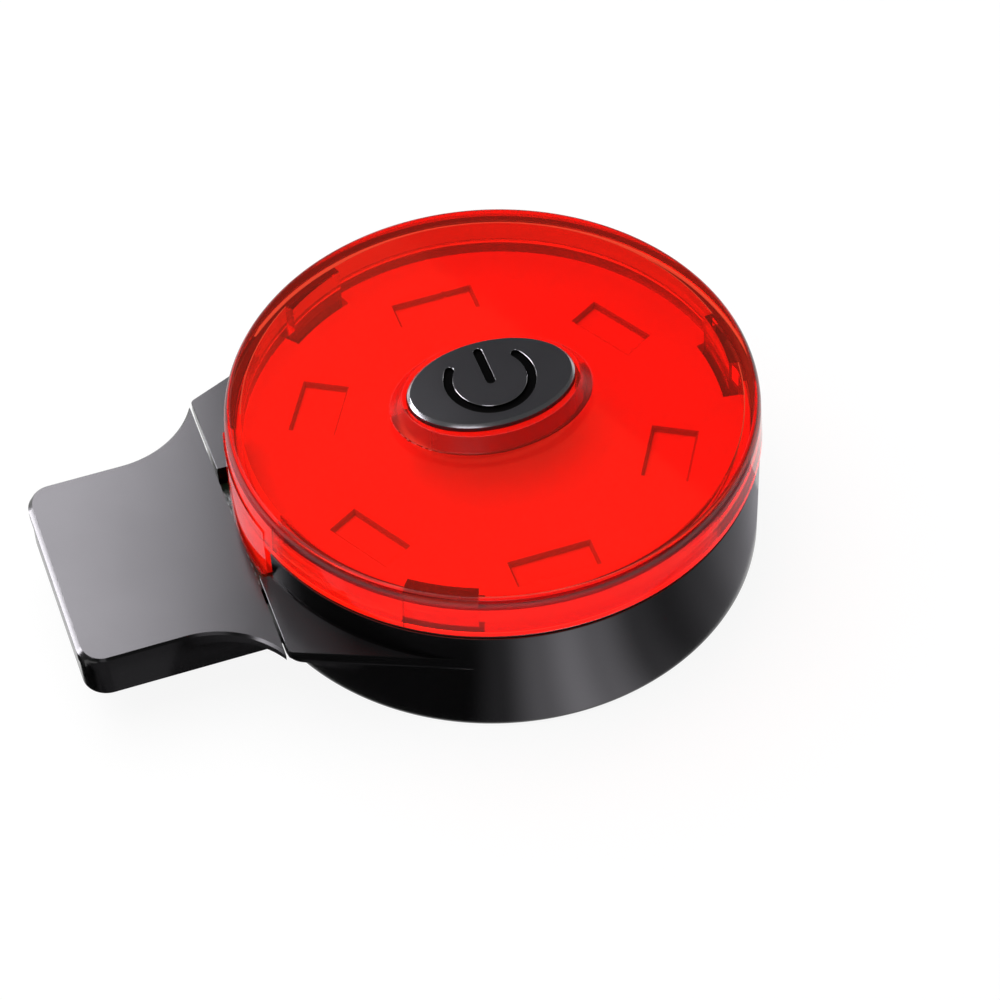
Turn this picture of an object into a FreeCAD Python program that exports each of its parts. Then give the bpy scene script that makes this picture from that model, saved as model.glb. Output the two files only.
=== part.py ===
import FreeCAD, Part
import math
import os

from FreeCAD import Vector

# Rechargeable tail light for a helmet: a round red lens snapped on a black cup, an oval power button
# in its middle, and a flat charging plug at one side under a pull-off cap.
# Frame: millimetres, origin at the centre of the flat back, +Z out through the lens,
# the plug and its cap point along -X.

# Housing cup
housing_radius = 21.85
floor = 1.2
wall = 1.7
lip = 0.75
back_edge_bevel = 0.5

# How far a cutting shape reaches past the face it cuts, and how deep two joined shapes overlap
past = 1.0
merge = 0.2

# What lies between the floor and the circuit board
pad_thickness = 0.4
pad_inset = 2.0
cell_thickness = 3.0
cell_back_gap = 3.55
cell_side_gap = 10.15
cell_edge_round = 1.2
cell_room = 0.3
terrace_length = 3.4
terrace_thickness = 0.4
terrace_lift = 0.3
protector_length = 2.6
protector_width = 14.0
protector_thickness = 1.0
cell_end_gap = 7.15

# Circuit board and its plug
board_thickness = 2.0
board_gap = 0.6
plug_width = 12.0
plug_length = 11.8
plug_corner = 0.8
plug_tip_bevel = 0.35
contact_width = 1.4
contact_long = 8.4
contact_short = 7.2
contact_thickness = 0.04
contact_outer_y = 3.5
contact_inner_y = 1.1
contact_from_tip = 1.1
slot_side_gap = 0.25
slot_floor_gap = 0.05

# Screws that hold the board
screw_edge = 3.05
screw_count = 2
screw_angle = 60.0
screw_radius = 0.75
screw_head_radius = 1.4
screw_head_height = 0.8
screw_grip = 2.7
screw_gap = 0.05
screw_hole_gap = 0.2
screw_cross_width = 0.36
screw_cross_length = 1.82
screw_cross_depth = 0.4
boss_wall = 1.0
hole_bottom_gap = 0.4

# Leads from the cell's protection strip
lead_radius = 0.35
lead_spacing = 3.4
lead_bend = 1.3
lead_start = 1.4

# Lamps under the pockets of the reflector
lamp_count = 6
lamp_edge = 6.4
lamp_length = 3.5
lamp_width = 2.8
lamp_height = 0.7
lamp_window_edge = 0.45
lamp_window_corner = 0.35
lamp_window_depth = 0.3

# Push switch on the board
switch_side = 4.5
switch_height = 1.7
switch_corner = 0.4
dome_room = 0.3
switch_cover_thickness = 0.15
switch_well_radius = 1.9
plunger_radius = 1.2
plunger_flange = 0.5
plunger_flange_height = 0.4
plunger_proud = 0.75
plunger_gap = 0.1

# Small parts on the board
resistor_size = (0.8, 1.6, 0.45)
resistor_from_lamp = 3.7
capacitor_size = (2.0, 1.25, 1.2)
capacitor_edge = 6.05
capacitor_y = 1.7
charger_size = (1.6, 2.9, 1.1)
transistor_size = (1.3, 2.9, 1.0)
chip_room = 2.7
control_size = (4.9, 3.9, 1.45)
control_room = 1.85
control_turn = 30.0
leg_reach = 0.85
small_leg_length = 1.2
leg_width = 0.4
leg_thickness = 0.18
leg_pitch = 1.27
small_leg_pitch = 0.95

# Reflector disc
disc_thickness = 1.2
disc_edge_gap = 0.1
disc_room = 2.65
disc_hole_gap = 0.2
pocket_sizes = ((2.7, 5.9), (2.45, 6.8), (3.65, 5.3))
pocket_shifts = (0.35, 0.45, 0.05)
pocket_depth = 0.5
well_wall = 0.6
well_side_gap = 0.5
well_board_gap = 0.25
notch_depth = 0.5
notch_side = 1.3

# Lens moulding
lens_overhang = 0.15
lens_skirt_height = 4.15
lens_draft = 0.4
lens_plate = 1.3
lens_skirt_wall = 1.5
lens_top_bevel = 0.25
gasket_thickness = 0.3
gasket_inset = 0.15
gasket_lip_gap = 0.1
lens_foot_drop = 0.75
lens_foot_gap = 0.05
spigot_gap = 0.1
tab_side_gap = 0.55
tab_corner = 2.0
tab_rise = 1.85
tab_board_gap = 0.1

# Snap lugs of the lens
lug_count = 3
lug_width = 5.7
lug_leg = 0.7
lug_back = 0.8
hook_reach = 0.55
hook_height = 0.65
hook_lead_in = 0.45
hook_gap = 0.08
catch_depth = 0.55

# Collar and button
oval_end = 0.57
collar_foot = (8.38, 6.2)
collar_slope = 0.87
collar_height = 1.15
button_half = (6.98, 4.64)
button_side_gap = 0.12
button_proud = 0.55
button_top = 1.2
button_wall = 1.0
button_skirt = 3.8
button_chamfer = 0.3
button_travel = 0.3
button_rest_gap = 0.05
stem_radius = 1.8
button_rib = 0.8
keeper_reach = 0.6
keeper_width = 2.4
keeper_height = 0.7
keeper_gap = 0.08

# Power mark engraved in the button
mark_radius = 3.4
mark_stroke = 0.75
mark_depth = 0.25
mark_shift = 0.3
mark_opening = 56.0
mark_bar_low = 0.2
mark_bar_high = 3.45

# Silicone boot over the switch
boot_radius = 4.4
boot_ring = 1.0
boot_roof = 0.5
boot_nipple_radius = 2.3
boot_nipple_proud = 0.25
boot_gap = 0.05
boot_pocket_gap = 0.2

# Neck of the housing, toward the plug
neck_angle = 23.3
neck_plate = 1.3
neck_corner = 0.8
neck_edge_bevel = 0.15
neck_over_plug = 0.04

# Pull-off cap
cap_gap = 0.2
cap_half_width = 9.8
cap_flare_radius = 7.9
cap_flare_step = 0.12
cap_corner = 2.1
cap_chamfer_height = 0.45
cap_chamfer_width = 0.36
cap_floor = 1.1
cap_end_wall = 2.75
cap_base_inset = 0.12
cap_base_bevel = 0.4
liner_side = 0.6
liner_skin = 0.35
liner_end = 0.8
liner_gap = 0.05
liner_tip_gap = 0.3
liner_mouth_inset = 0.4
nest_gap = 0.05

# Heights that follow from the stack
cell_low = floor + pad_thickness
board_low = cell_low + cell_thickness + cell_room
board_high = board_low + board_thickness
ledge_height = board_high + disc_room
disc_high = ledge_height + disc_thickness
skirt_low = disc_high + lens_foot_drop
rim_height = skirt_low - gasket_thickness
lens_high = skirt_low + lens_skirt_height
plate_low = lens_high - lens_plate
collar_high = lens_high + collar_height
button_high = collar_high + button_proud

# Radii and places that follow from the fits
bore_radius = housing_radius - wall
lip_radius = housing_radius - lip
board_radius = bore_radius - board_gap
lens_radius = housing_radius + lens_overhang
skirt_radius = lens_radius - lens_skirt_wall
spigot_radius = lip_radius - spigot_gap
disc_radius = lip_radius - disc_edge_gap
lug_radius = skirt_radius - lug_back
leg_radius = lug_radius + lug_leg
hook_radius = leg_radius + hook_reach
slot_half = plug_width / 2 + slot_side_gap
seam_x = -lens_radius
plug_tip_x = seam_x - plug_length
boss_radius = screw_radius + boss_wall
screw_circle = board_radius - screw_edge
cell_end_x = bore_radius - cell_end_gap
cell_back_x = cell_back_gap - bore_radius
cell_half_width = bore_radius - cell_side_gap
lamp_circle = disc_radius - lamp_edge
resistor_circle = lamp_circle - resistor_from_lamp
capacitor_x = capacitor_edge - board_radius
charger_x = -boot_radius - chip_room - charger_size[0] / 2
transistor_x = boot_radius + chip_room + transistor_size[0] / 2
control_circle = boot_radius + control_room + control_size[1] / 2
plug_top = board_high + contact_thickness
neck_low = board_high + neck_over_plug
neck_high = neck_low + neck_plate
cap_low = board_low - cap_floor
cap_mouth_x = seam_x - cap_gap
liner_end_x = plug_tip_x - liner_tip_gap - liner_end
cap_end_x = liner_end_x - nest_gap - cap_end_wall


# Shapes that several pieces share

def rod(radius, low, high, x=0.0, y=0.0):
    return Part.makeCylinder(radius, high - low, Vector(x, y, low))


def block(x_low, x_high, y_low, y_high, low, high):
    corner = Vector(x_low, y_low, low)
    return Part.makeBox(x_high - x_low, y_high - y_low, high - low, corner)


def middle_block(length, width, low, high, x=0.0, y=0.0):
    return block(x - length / 2, x + length / 2, y - width / 2, y + width / 2, low, high)


def turned(points, degrees=360.0):
    corners = [Vector(radius, 0, height) for radius, height in points]
    outline = Part.makePolygon(corners + corners[:1])
    return Part.Face(outline).revolve(Vector(0, 0, 0), Vector(0, 0, 1), degrees)


def turned_sector(points, width):
    sector = turned(points, width)
    sector.rotate(Vector(0, 0, 0), Vector(0, 0, 1), -width / 2)
    return sector


def oval_wire(half_axes, height):
    long_half, short_half = half_axes
    inset = oval_end * (long_half - short_half)
    end_radius = short_half - inset
    end_x = long_half - end_radius
    side_y = (end_x ** 2 - inset ** 2) / (2 * inset)
    slope = math.hypot(end_x, side_y)
    join_x = end_x + end_radius * end_x / slope
    join_y = end_radius * side_y / slope

    def point(x, y):
        return Vector(x, y, height)

    arcs = [
        Part.Arc(point(join_x, -join_y), point(long_half, 0), point(join_x, join_y)),
        Part.Arc(point(join_x, join_y), point(0, short_half), point(-join_x, join_y)),
        Part.Arc(point(-join_x, join_y), point(-long_half, 0), point(-join_x, -join_y)),
        Part.Arc(point(-join_x, -join_y), point(0, -short_half), point(join_x, -join_y)),
    ]
    return Part.Wire([arc.toShape() for arc in arcs])


def oval(half_axes, low, high):
    return Part.Face(oval_wire(half_axes, low)).extrude(Vector(0, 0, high - low))


def grown(half_axes, amount):
    return (half_axes[0] + amount, half_axes[1] + amount)


def at_angle(shape, degrees):
    copy = shape.copy()
    copy.rotate(Vector(0, 0, 0), Vector(0, 0, 1), degrees)
    return copy


def around(shape, count, first=0.0):
    return [at_angle(shape, first + step * 360.0 / count) for step in range(count)]


def edges_where(shape, test):
    return [edge for edge in shape.Edges if test(edge.BoundBox)]


def flat_at(box, height):
    return abs(box.ZMin - height) < 1e-4 and abs(box.ZMax - height) < 1e-4


def upright(box):
    return box.XLength < 1e-4 and box.YLength < 1e-4


def lengthwise(box):
    return box.YLength < 1e-4 and box.ZLength < 1e-4


def save(name, solids):
    if len(solids) == 1:
        shape = solids[0]
    else:
        shape = Part.makeCompound(solids)
    shape.exportStep("parts/" + name + ".step")


# Housing: a cup with a stepped rim, a neck of two ears and the plug's boss

def neck_half_width():
    angle = math.radians(neck_angle)
    touch_x = -housing_radius * math.sin(angle)
    touch_y = housing_radius * math.cos(angle)
    return touch_y - (touch_x - seam_x) * math.tan(angle)


def housing_cup():
    profile = [
        (0, 0),
        (housing_radius - back_edge_bevel, 0),
        (housing_radius, back_edge_bevel),
        (housing_radius, rim_height),
        (lip_radius, rim_height),
        (lip_radius, ledge_height),
        (bore_radius, ledge_height),
        (bore_radius, floor),
        (0, floor),
    ]
    return turned(profile)


def neck_ears():
    angle = math.radians(neck_angle)
    touch_x = -housing_radius * math.sin(angle)
    touch_y = housing_radius * math.cos(angle)
    half = neck_half_width()
    corners = [
        Vector(touch_x, -touch_y, neck_low),
        Vector(touch_x, touch_y, neck_low),
        Vector(seam_x, half, neck_low),
        Vector(seam_x, -half, neck_low),
    ]
    plate = Part.Face(Part.makePolygon(corners + corners[:1])).extrude(Vector(0, 0, neck_plate))
    seam_corners = edges_where(plate, lambda box: upright(box) and abs(box.XMin - seam_x) < 1e-4)
    plate = plate.makeFillet(neck_corner, seam_corners)
    return plate.makeChamfer(neck_edge_bevel, edges_where(plate, lambda box: flat_at(box, neck_high)))


def plug_boss():
    half = cap_half_width - cap_base_inset
    boss = block(seam_x, -bore_radius / 2, -half, half, cap_low, neck_low)
    seam_edges = edges_where(boss, lambda box: flat_at(box, cap_low) and lengthwise(box))
    return boss.makeChamfer(cap_base_bevel, seam_edges)


def lug_catch_pocket():
    width = math.degrees((lug_width + 2 * notch_side) / lug_radius)
    catch_low = ledge_height - catch_depth
    pocket_low = catch_low - hook_gap - hook_height - hook_lead_in - hook_gap
    profile = [
        (bore_radius - past, pocket_low),
        (hook_radius + hook_gap, pocket_low),
        (hook_radius + hook_gap, catch_low),
        (leg_radius + hook_gap, catch_low),
        (leg_radius + hook_gap, ledge_height + past),
        (bore_radius - past, ledge_height + past),
    ]
    return turned_sector(profile, width)


def make_housing():
    cup = housing_cup()
    inside = rod(bore_radius + wall / 2, 0, rim_height)
    cup = cup.fuse([neck_ears().cut(inside), plug_boss().cut(inside)])
    slot_low = board_low - slot_floor_gap
    slot = block(seam_x - past, -bore_radius / 2, -slot_half, slot_half, slot_low, rim_height + past)
    cup = cup.cut([slot] + around(lug_catch_pocket(), lug_count))
    boss = rod(boss_radius, floor, board_low, screw_circle)
    cup = cup.fuse(around(boss, screw_count, screw_angle))
    hole_low = board_high - board_thickness - screw_grip - hole_bottom_gap
    hole = rod(screw_radius + screw_gap, hole_low, board_low + past, screw_circle)
    return cup.cut(around(hole, screw_count, screw_angle)).removeSplitter()


# Cell, its foam pad, protection strip and leads

def make_battery_pad():
    x_high = cell_end_x - terrace_length - pad_inset
    half = cell_half_width - pad_inset
    return block(cell_back_x + pad_inset, x_high, -half, half, floor, cell_low)


def make_battery_cell():
    body_end = cell_end_x - terrace_length
    half = cell_half_width
    body = block(cell_back_x, body_end, -half, half, cell_low, cell_low + cell_thickness)
    body = body.makeFillet(cell_edge_round, edges_where(body, lengthwise))
    terrace_low = cell_low + terrace_lift
    inset = half - cell_edge_round
    terrace_high = terrace_low + terrace_thickness
    terrace = block(body_end - merge, cell_end_x, -inset, inset, terrace_low, terrace_high)
    return body.fuse(terrace).removeSplitter()


def protector_low():
    return cell_low + terrace_lift + terrace_thickness


def make_cell_protector():
    half = protector_width / 2
    high = protector_low() + protector_thickness
    return block(cell_end_x - protector_length, cell_end_x, -half, half, protector_low(), high)


def make_lead(side):
    y = side * lead_spacing
    rise_x = cell_end_x + lead_start + lead_bend
    height = protector_low() + protector_thickness / 2
    path = [
        Vector(cell_end_x, y, height),
        Vector(cell_end_x + lead_start, y, height),
        Vector(rise_x, y, height + lead_bend),
        Vector(rise_x, y, board_low),
    ]
    section = Part.Wire(Part.Circle(path[0], Vector(1, 0, 0), lead_radius).toShape())
    return Part.makePolygon(path).makePipeShell([section], True, False, 1)


# Circuit board with the flat plug cut from the same sheet, its contacts and screws

def make_circuit_board():
    board = rod(board_radius, board_low, board_high)
    half = plug_width / 2
    plug = block(plug_tip_x, 0, -half, half, board_low, board_high)
    corners = edges_where(plug, lambda box: upright(box) and abs(box.XMin - plug_tip_x) < 1e-4)
    plug = plug.makeChamfer(plug_corner, corners)
    tip = edges_where(plug, lambda box: box.ZLength < 1e-4 and box.XMax < plug_tip_x + 1e-4)
    plug = plug.makeChamfer(plug_tip_bevel, tip)
    board = board.fuse(plug).removeSplitter()
    hole = rod(screw_radius + screw_hole_gap, board_low - past, board_high + past, screw_circle)
    return board.cut(around(hole, screw_count, screw_angle))


def make_plug_contacts():
    contacts = []
    for y, length in (
        (-contact_outer_y, contact_long),
        (-contact_inner_y, contact_short),
        (contact_inner_y, contact_short),
        (contact_outer_y, contact_long),
    ):
        x_low = plug_tip_x + contact_from_tip + (contact_long - length)
        x_high = plug_tip_x + contact_from_tip + contact_long
        y_low = y - contact_width / 2
        contacts.append(block(x_low, x_high, y_low, y_low + contact_width, board_high, plug_top))
    return contacts


def make_board_screws():
    high = board_high + screw_head_height
    screw = turned([
        (0, board_low - screw_grip),
        (screw_radius, board_low - screw_grip),
        (screw_radius, board_high),
        (screw_head_radius, board_high),
        (screw_head_radius, high),
        (0, high),
    ])
    cross_low = high - screw_cross_depth
    bars = []
    for length, width in (
        (screw_cross_length, screw_cross_width),
        (screw_cross_width, screw_cross_length),
    ):
        bars.append(middle_block(length, width, cross_low, high + past))
    screw = screw.cut(bars)
    screw.translate(Vector(screw_circle, 0, 0))
    return around(screw, screw_count, screw_angle)


# Lamps, switch and the other parts soldered on the board

def lamp_window(low, high):
    width = lamp_width - 2 * lamp_window_edge
    length = lamp_length - 2 * lamp_window_edge
    window = middle_block(width, length, low, high, lamp_circle)
    return window.makeChamfer(lamp_window_corner, edges_where(window, upright))


def make_led_bodies():
    high = board_high + lamp_height
    body = middle_block(lamp_width, lamp_length, board_high, high, lamp_circle)
    cup = lamp_window(high - lamp_window_depth, high + past)
    return around(body.cut(cup), lamp_count, 180.0 / lamp_count)


def make_led_lenses():
    high = board_high + lamp_height
    return around(lamp_window(high - lamp_window_depth, high), lamp_count, 180.0 / lamp_count)


def plunger_flange_low():
    return board_high + switch_height - plunger_gap - plunger_flange_height


def make_switch_body():
    high = board_high + switch_height
    body = middle_block(switch_side, switch_side, board_high, high)
    corners = edges_where(body, upright)
    body = body.makeChamfer(switch_corner, corners)
    well_low = plunger_flange_low() - button_travel - dome_room
    return body.cut(rod(switch_well_radius, well_low, high + past))


def make_switch_cover():
    low = board_high + switch_height
    cover = middle_block(switch_side, switch_side, low, low + switch_cover_thickness)
    corners = edges_where(cover, upright)
    cover = cover.makeChamfer(switch_corner, corners)
    return cover.cut(rod(plunger_radius + plunger_gap, low - past, low + past))


def plunger_high():
    return board_high + switch_height + switch_cover_thickness + plunger_proud


def make_switch_plunger():
    flange_high = plunger_flange_low() + plunger_flange_height
    flange = rod(plunger_radius + plunger_flange, plunger_flange_low(), flange_high)
    return flange.fuse(rod(plunger_radius, plunger_flange_low(), plunger_high())).removeSplitter()


def make_resistors():
    depth, length, height = resistor_size
    resistor = middle_block(depth, length, board_high, board_high + height, resistor_circle)
    return around(resistor, lamp_count, 180.0 / lamp_count)


def make_capacitors():
    length, width, height = capacitor_size
    capacitors = []
    for side in (-1, 1):
        y = side * capacitor_y
        capacitors.append(middle_block(length, width, board_high, board_high + height, capacitor_x, y))
    return capacitors


def chip(size, x, y):
    length, width, height = size
    body = middle_block(length, width, board_high + leg_thickness, board_high + height, x, y)
    top = edges_where(body, lambda box: flat_at(box, board_high + height))
    return body.makeChamfer(leg_thickness, top)


def make_control_chip():
    return at_angle(chip(control_size, 0.0, -control_circle), control_turn)


def make_charge_chip():
    return chip(charger_size, charger_x, 0.0)


def make_drive_transistor():
    return chip(transistor_size, transistor_x, 0.0)


def make_chip_legs():
    legs = []
    high = board_high + leg_thickness
    half = control_size[1] / 2
    for step in range(4):
        x = (step - 1.5) * leg_pitch
        for side in (-1, 1):
            y = side * half - control_circle
            leg = middle_block(leg_width, leg_reach * 2, board_high, high, x, y)
            legs.append(at_angle(leg, control_turn))
    for chip_x, length, rows in (
        (charger_x, charger_size[0], ((-1, (-1, 0, 1)), (1, (-1, 1)))),
        (transistor_x, transistor_size[0], ((-1, (-1, 1)), (1, (0,)))),
    ):
        for side, steps in rows:
            for step in steps:
                x = chip_x + side * (length / 2)
                y = step * small_leg_pitch
                legs.append(middle_block(small_leg_length, leg_width, board_high, high, x, y))
    return legs


# Silicone boot: a ring on the board, a thin roof and a nipple between the stem and the plunger

def nipple_high():
    return disc_high + boot_nipple_proud


def make_button_seal():
    ring_radius = boot_radius - boot_ring
    shoulder = ledge_height - boot_gap
    roof_low = shoulder - boot_roof
    pocket_radius = plunger_radius + boot_pocket_gap
    profile = [
        (0, nipple_high()),
        (boot_nipple_radius, nipple_high()),
        (boot_nipple_radius, shoulder),
        (boot_radius, shoulder),
        (boot_radius, board_high),
        (ring_radius, board_high),
        (ring_radius, roof_low),
        (pocket_radius, roof_low),
        (pocket_radius, plunger_high() + boot_gap),
        (0, plunger_high() + boot_gap),
    ]
    return turned(profile)


# Reflector disc: pockets over the lamps, light wells below them, three notches for the lens's lugs

def make_reflector_disc():
    disc = rod(disc_radius, ledge_height, disc_high)
    pocket_low = disc_high - pocket_depth
    first = 180.0 / lamp_count
    pockets = []
    for step, (width, length) in enumerate(pocket_sizes):
        circle = lamp_circle + pocket_shifts[step]
        pocket = middle_block(width, length, pocket_low, disc_high + past, circle)
        pockets += around(pocket, 2, first + step * 360.0 / lamp_count)
    well_length = lamp_length + 2 * well_side_gap
    well_width = lamp_width + 2 * well_side_gap
    well_low = board_high + well_board_gap
    outer = middle_block(well_width + 2 * well_wall, well_length + 2 * well_wall,
                         well_low, ledge_height, lamp_circle)
    inner = middle_block(well_width, well_length, well_low - past, ledge_height, lamp_circle)
    disc = disc.fuse(around(outer.cut(inner), lamp_count, first))
    notch_width = math.degrees((lug_width + notch_side / 2) / lug_radius)
    notch_radius = lug_radius - notch_depth
    notch = turned_sector([
        (notch_radius, ledge_height - past),
        (disc_radius + past, ledge_height - past),
        (disc_radius + past, disc_high + past),
        (notch_radius, disc_high + past),
    ], notch_width)
    hole = rod(boot_nipple_radius + disc_hole_gap, ledge_height - past, disc_high + past)
    cuts = pockets + around(notch, lug_count) + [hole]
    return disc.cut(cuts).removeSplitter()


# Gasket strip between the rim and the lens, open where the lens's tab comes down

def make_rim_gasket():
    low = rim_height
    high = rim_height + gasket_thickness
    ring = rod(housing_radius - gasket_inset, low, high)
    ring = ring.cut(rod(lip_radius + gasket_lip_gap, low - past, high + past))
    return ring.cut(block(-lens_radius - past, 0, -slot_half, slot_half, low - past, high + past))


# Lens: drafted cap with a spigot, a tab over the plug, three snap lugs and a sloping oval collar

def lens_shell():
    top_radius = lens_radius - lens_draft
    profile = [
        (0, lens_high),
        (top_radius - lens_top_bevel, lens_high),
        (top_radius, lens_high - lens_top_bevel),
        (lens_radius, skirt_low),
        (spigot_radius, skirt_low),
        (spigot_radius, disc_high + lens_foot_gap),
        (skirt_radius, disc_high + lens_foot_gap),
        (skirt_radius, plate_low),
        (0, plate_low),
    ]
    return turned(profile)


def lens_tab():
    half = slot_half - tab_side_gap
    low = board_high + tab_board_gap
    high = skirt_low + tab_rise
    tab = block(-lens_radius - past, -skirt_radius / 2, -half, half, low, high)
    corners = edges_where(tab, lambda box: flat_at(box, low) and lengthwise(box))
    tab = tab.makeFillet(tab_corner, corners)
    band = rod(lens_radius, low - past, high + past)
    return tab.common(band).cut(rod(lip_radius, low - past, high + past))


def lens_lug():
    catch_low = ledge_height - catch_depth
    hook_high = catch_low - hook_gap
    hook_low = hook_high - hook_height
    foot_high = disc_high + lens_foot_gap
    profile = [
        (lug_radius, plate_low + merge),
        (skirt_radius + merge, plate_low + merge),
        (skirt_radius + merge, foot_high),
        (leg_radius, foot_high),
        (leg_radius, hook_high),
        (hook_radius, hook_high),
        (hook_radius, hook_low),
        (leg_radius, hook_low - hook_lead_in),
        (lug_radius, hook_low - hook_lead_in),
    ]
    return turned_sector(profile, math.degrees(lug_width / lug_radius))


def make_lens():
    shell = lens_shell()
    collar = oval(collar_foot, plate_low, collar_high)
    top_edges = edges_where(collar, lambda box: flat_at(box, collar_high))
    collar = collar.makeChamfer(collar_height, collar_slope, top_edges)
    shell = shell.fuse([collar, lens_tab()] + around(lens_lug(), lug_count))
    hole = oval(grown(button_half, button_side_gap), plate_low - past, collar_high + past)
    return shell.cut(hole).removeSplitter()


# Button: an oval cup with a stem, two keepers under the lens and the engraved power mark

def power_mark():
    low = button_high - mark_depth
    high = button_high + past
    half = mark_stroke / 2
    ring = rod(mark_radius + half, low, high, 0, mark_shift)
    ring = ring.cut(rod(mark_radius - half, low - past, high + past, 0, mark_shift))
    reach = 2 * mark_radius
    opening = math.radians(mark_opening)
    wedge_corners = [
        Vector(0, mark_shift, low),
        Vector(reach * math.sin(opening), mark_shift + reach * math.cos(opening), low),
        Vector(0, mark_shift + reach * 2, low),
        Vector(-reach * math.sin(opening), mark_shift + reach * math.cos(opening), low),
    ]
    wedge_height = Vector(0, 0, high - low)
    wedge = Part.Face(Part.makePolygon(wedge_corners + wedge_corners[:1])).extrude(wedge_height)
    strokes = [ring.cut(wedge)]
    for side in (-1, 1):
        x = side * mark_radius * math.sin(opening)
        strokes.append(rod(half, low, high, x, mark_shift + mark_radius * math.cos(opening)))
    bar_low = mark_shift - mark_bar_low
    bar_high = mark_shift + mark_bar_high - half
    strokes.append(block(-half, half, bar_low, bar_high, low, high))
    strokes.append(rod(half, low, high, 0, bar_low))
    strokes.append(rod(half, low, high, 0, bar_high))
    return strokes


def make_button_cap():
    low = button_high - button_skirt
    body = oval(button_half, low, button_high)
    body = body.makeChamfer(button_chamfer, edges_where(body, lambda box: flat_at(box, button_high)))
    hollow = oval(grown(button_half, -button_wall), low - past, button_high - button_top)
    body = body.cut(hollow)
    inner = grown(button_half, -button_wall / 2)
    rib = block(-inner[0], inner[0], -button_rib / 2, button_rib / 2, low + keeper_height,
                button_high - button_top / 2)
    stem = rod(stem_radius, nipple_high() + button_rest_gap, button_high - button_top / 2)
    keeper_top = plate_low - keeper_gap
    keepers = block(-button_half[0] - keeper_reach, button_half[0] + keeper_reach,
                    -keeper_width / 2, keeper_width / 2, keeper_top - keeper_height, keeper_top)
    keepers = keepers.cut(block(-inner[0], inner[0], -keeper_width, keeper_width,
                                keeper_top - keeper_height - past, keeper_top + past))
    body = body.fuse([rib.common(oval(inner, low - past, button_high)), stem, keepers])
    return body.cut(power_mark()).removeSplitter()


# Cap: a flared top plate, a block below it and a silicone sleeve that grips the plug

def cap_outline(height, inset):
    half = cap_half_width - inset
    seam_half = neck_half_width() - cap_flare_step - inset
    radius = cap_flare_radius + inset
    rise = seam_half - half
    flare = math.sqrt(radius ** 2 - (radius - rise) ** 2)
    flare_x = cap_mouth_x - flare
    turn = math.asin(flare / radius) / 2
    middle_x = flare_x + radius * math.sin(turn)
    middle_y = half + radius * (1 - math.cos(turn))
    corner = cap_corner - inset
    end_x = cap_end_x + inset
    bulge = corner * (1 - math.cos(math.radians(45)))

    def point(x, y):
        return Vector(x, y, height)

    sides = [
        Part.LineSegment(point(cap_mouth_x, -seam_half), point(cap_mouth_x, seam_half)),
        Part.Arc(point(cap_mouth_x, seam_half), point(middle_x, middle_y), point(flare_x, half)),
        Part.LineSegment(point(flare_x, half), point(end_x + corner, half)),
        Part.Arc(point(end_x + corner, half), point(end_x + bulge, half - bulge),
                 point(end_x, half - corner)),
        Part.LineSegment(point(end_x, half - corner), point(end_x, corner - half)),
        Part.Arc(point(end_x, corner - half), point(end_x + bulge, bulge - half),
                 point(end_x + corner, -half)),
        Part.LineSegment(point(end_x + corner, -half), point(flare_x, -half)),
        Part.Arc(point(flare_x, -half), point(middle_x, -middle_y), point(cap_mouth_x, -seam_half)),
    ]
    return Part.Wire([side.toShape() for side in sides])


def cap_cavity(low, high):
    half = plug_width / 2 + liner_gap + liner_side + nest_gap
    return block(liner_end_x - nest_gap, cap_mouth_x + past, -half, half, low, high)


def liner_low():
    return board_low - liner_gap - liner_skin


def liner_high():
    return plug_top + liner_gap + liner_skin


def make_cap_top():
    straight = Vector(0, 0, neck_plate - cap_chamfer_height)
    lower = Part.Face(cap_outline(neck_low, 0.0)).extrude(straight)
    chamfer = Part.makeLoft([
        cap_outline(neck_high - cap_chamfer_height, 0.0),
        cap_outline(neck_high, cap_chamfer_width),
    ], True)
    plate = lower.fuse(chamfer)
    return plate.cut(cap_cavity(neck_low - past, liner_high() + nest_gap)).removeSplitter()


def make_cap_base():
    half = cap_half_width - cap_base_inset
    x_low = cap_end_x + cap_base_inset
    base = block(x_low, cap_mouth_x, -half, half, cap_low, neck_low)
    corners = edges_where(base, lambda box: upright(box) and abs(box.XMin - x_low) < 1e-4)
    base = base.makeFillet(cap_corner, corners)
    foot = edges_where(base, lambda box: flat_at(box, cap_low) and box.XMin < cap_mouth_x - merge)
    base = base.makeChamfer(cap_base_bevel, foot)
    return base.cut(cap_cavity(liner_low() - nest_gap, neck_low + past))


def make_cap_liner():
    half = plug_width / 2 + liner_gap + liner_side
    mouth_x = cap_mouth_x - liner_mouth_inset
    sleeve = block(liner_end_x, mouth_x, -half, half, liner_low(), liner_high())
    room = plug_width / 2 + liner_gap
    bore = block(plug_tip_x - liner_tip_gap, mouth_x + past, -room, room,
                 board_low - liner_gap, plug_top + liner_gap)
    return sleeve.cut(bore)


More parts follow.
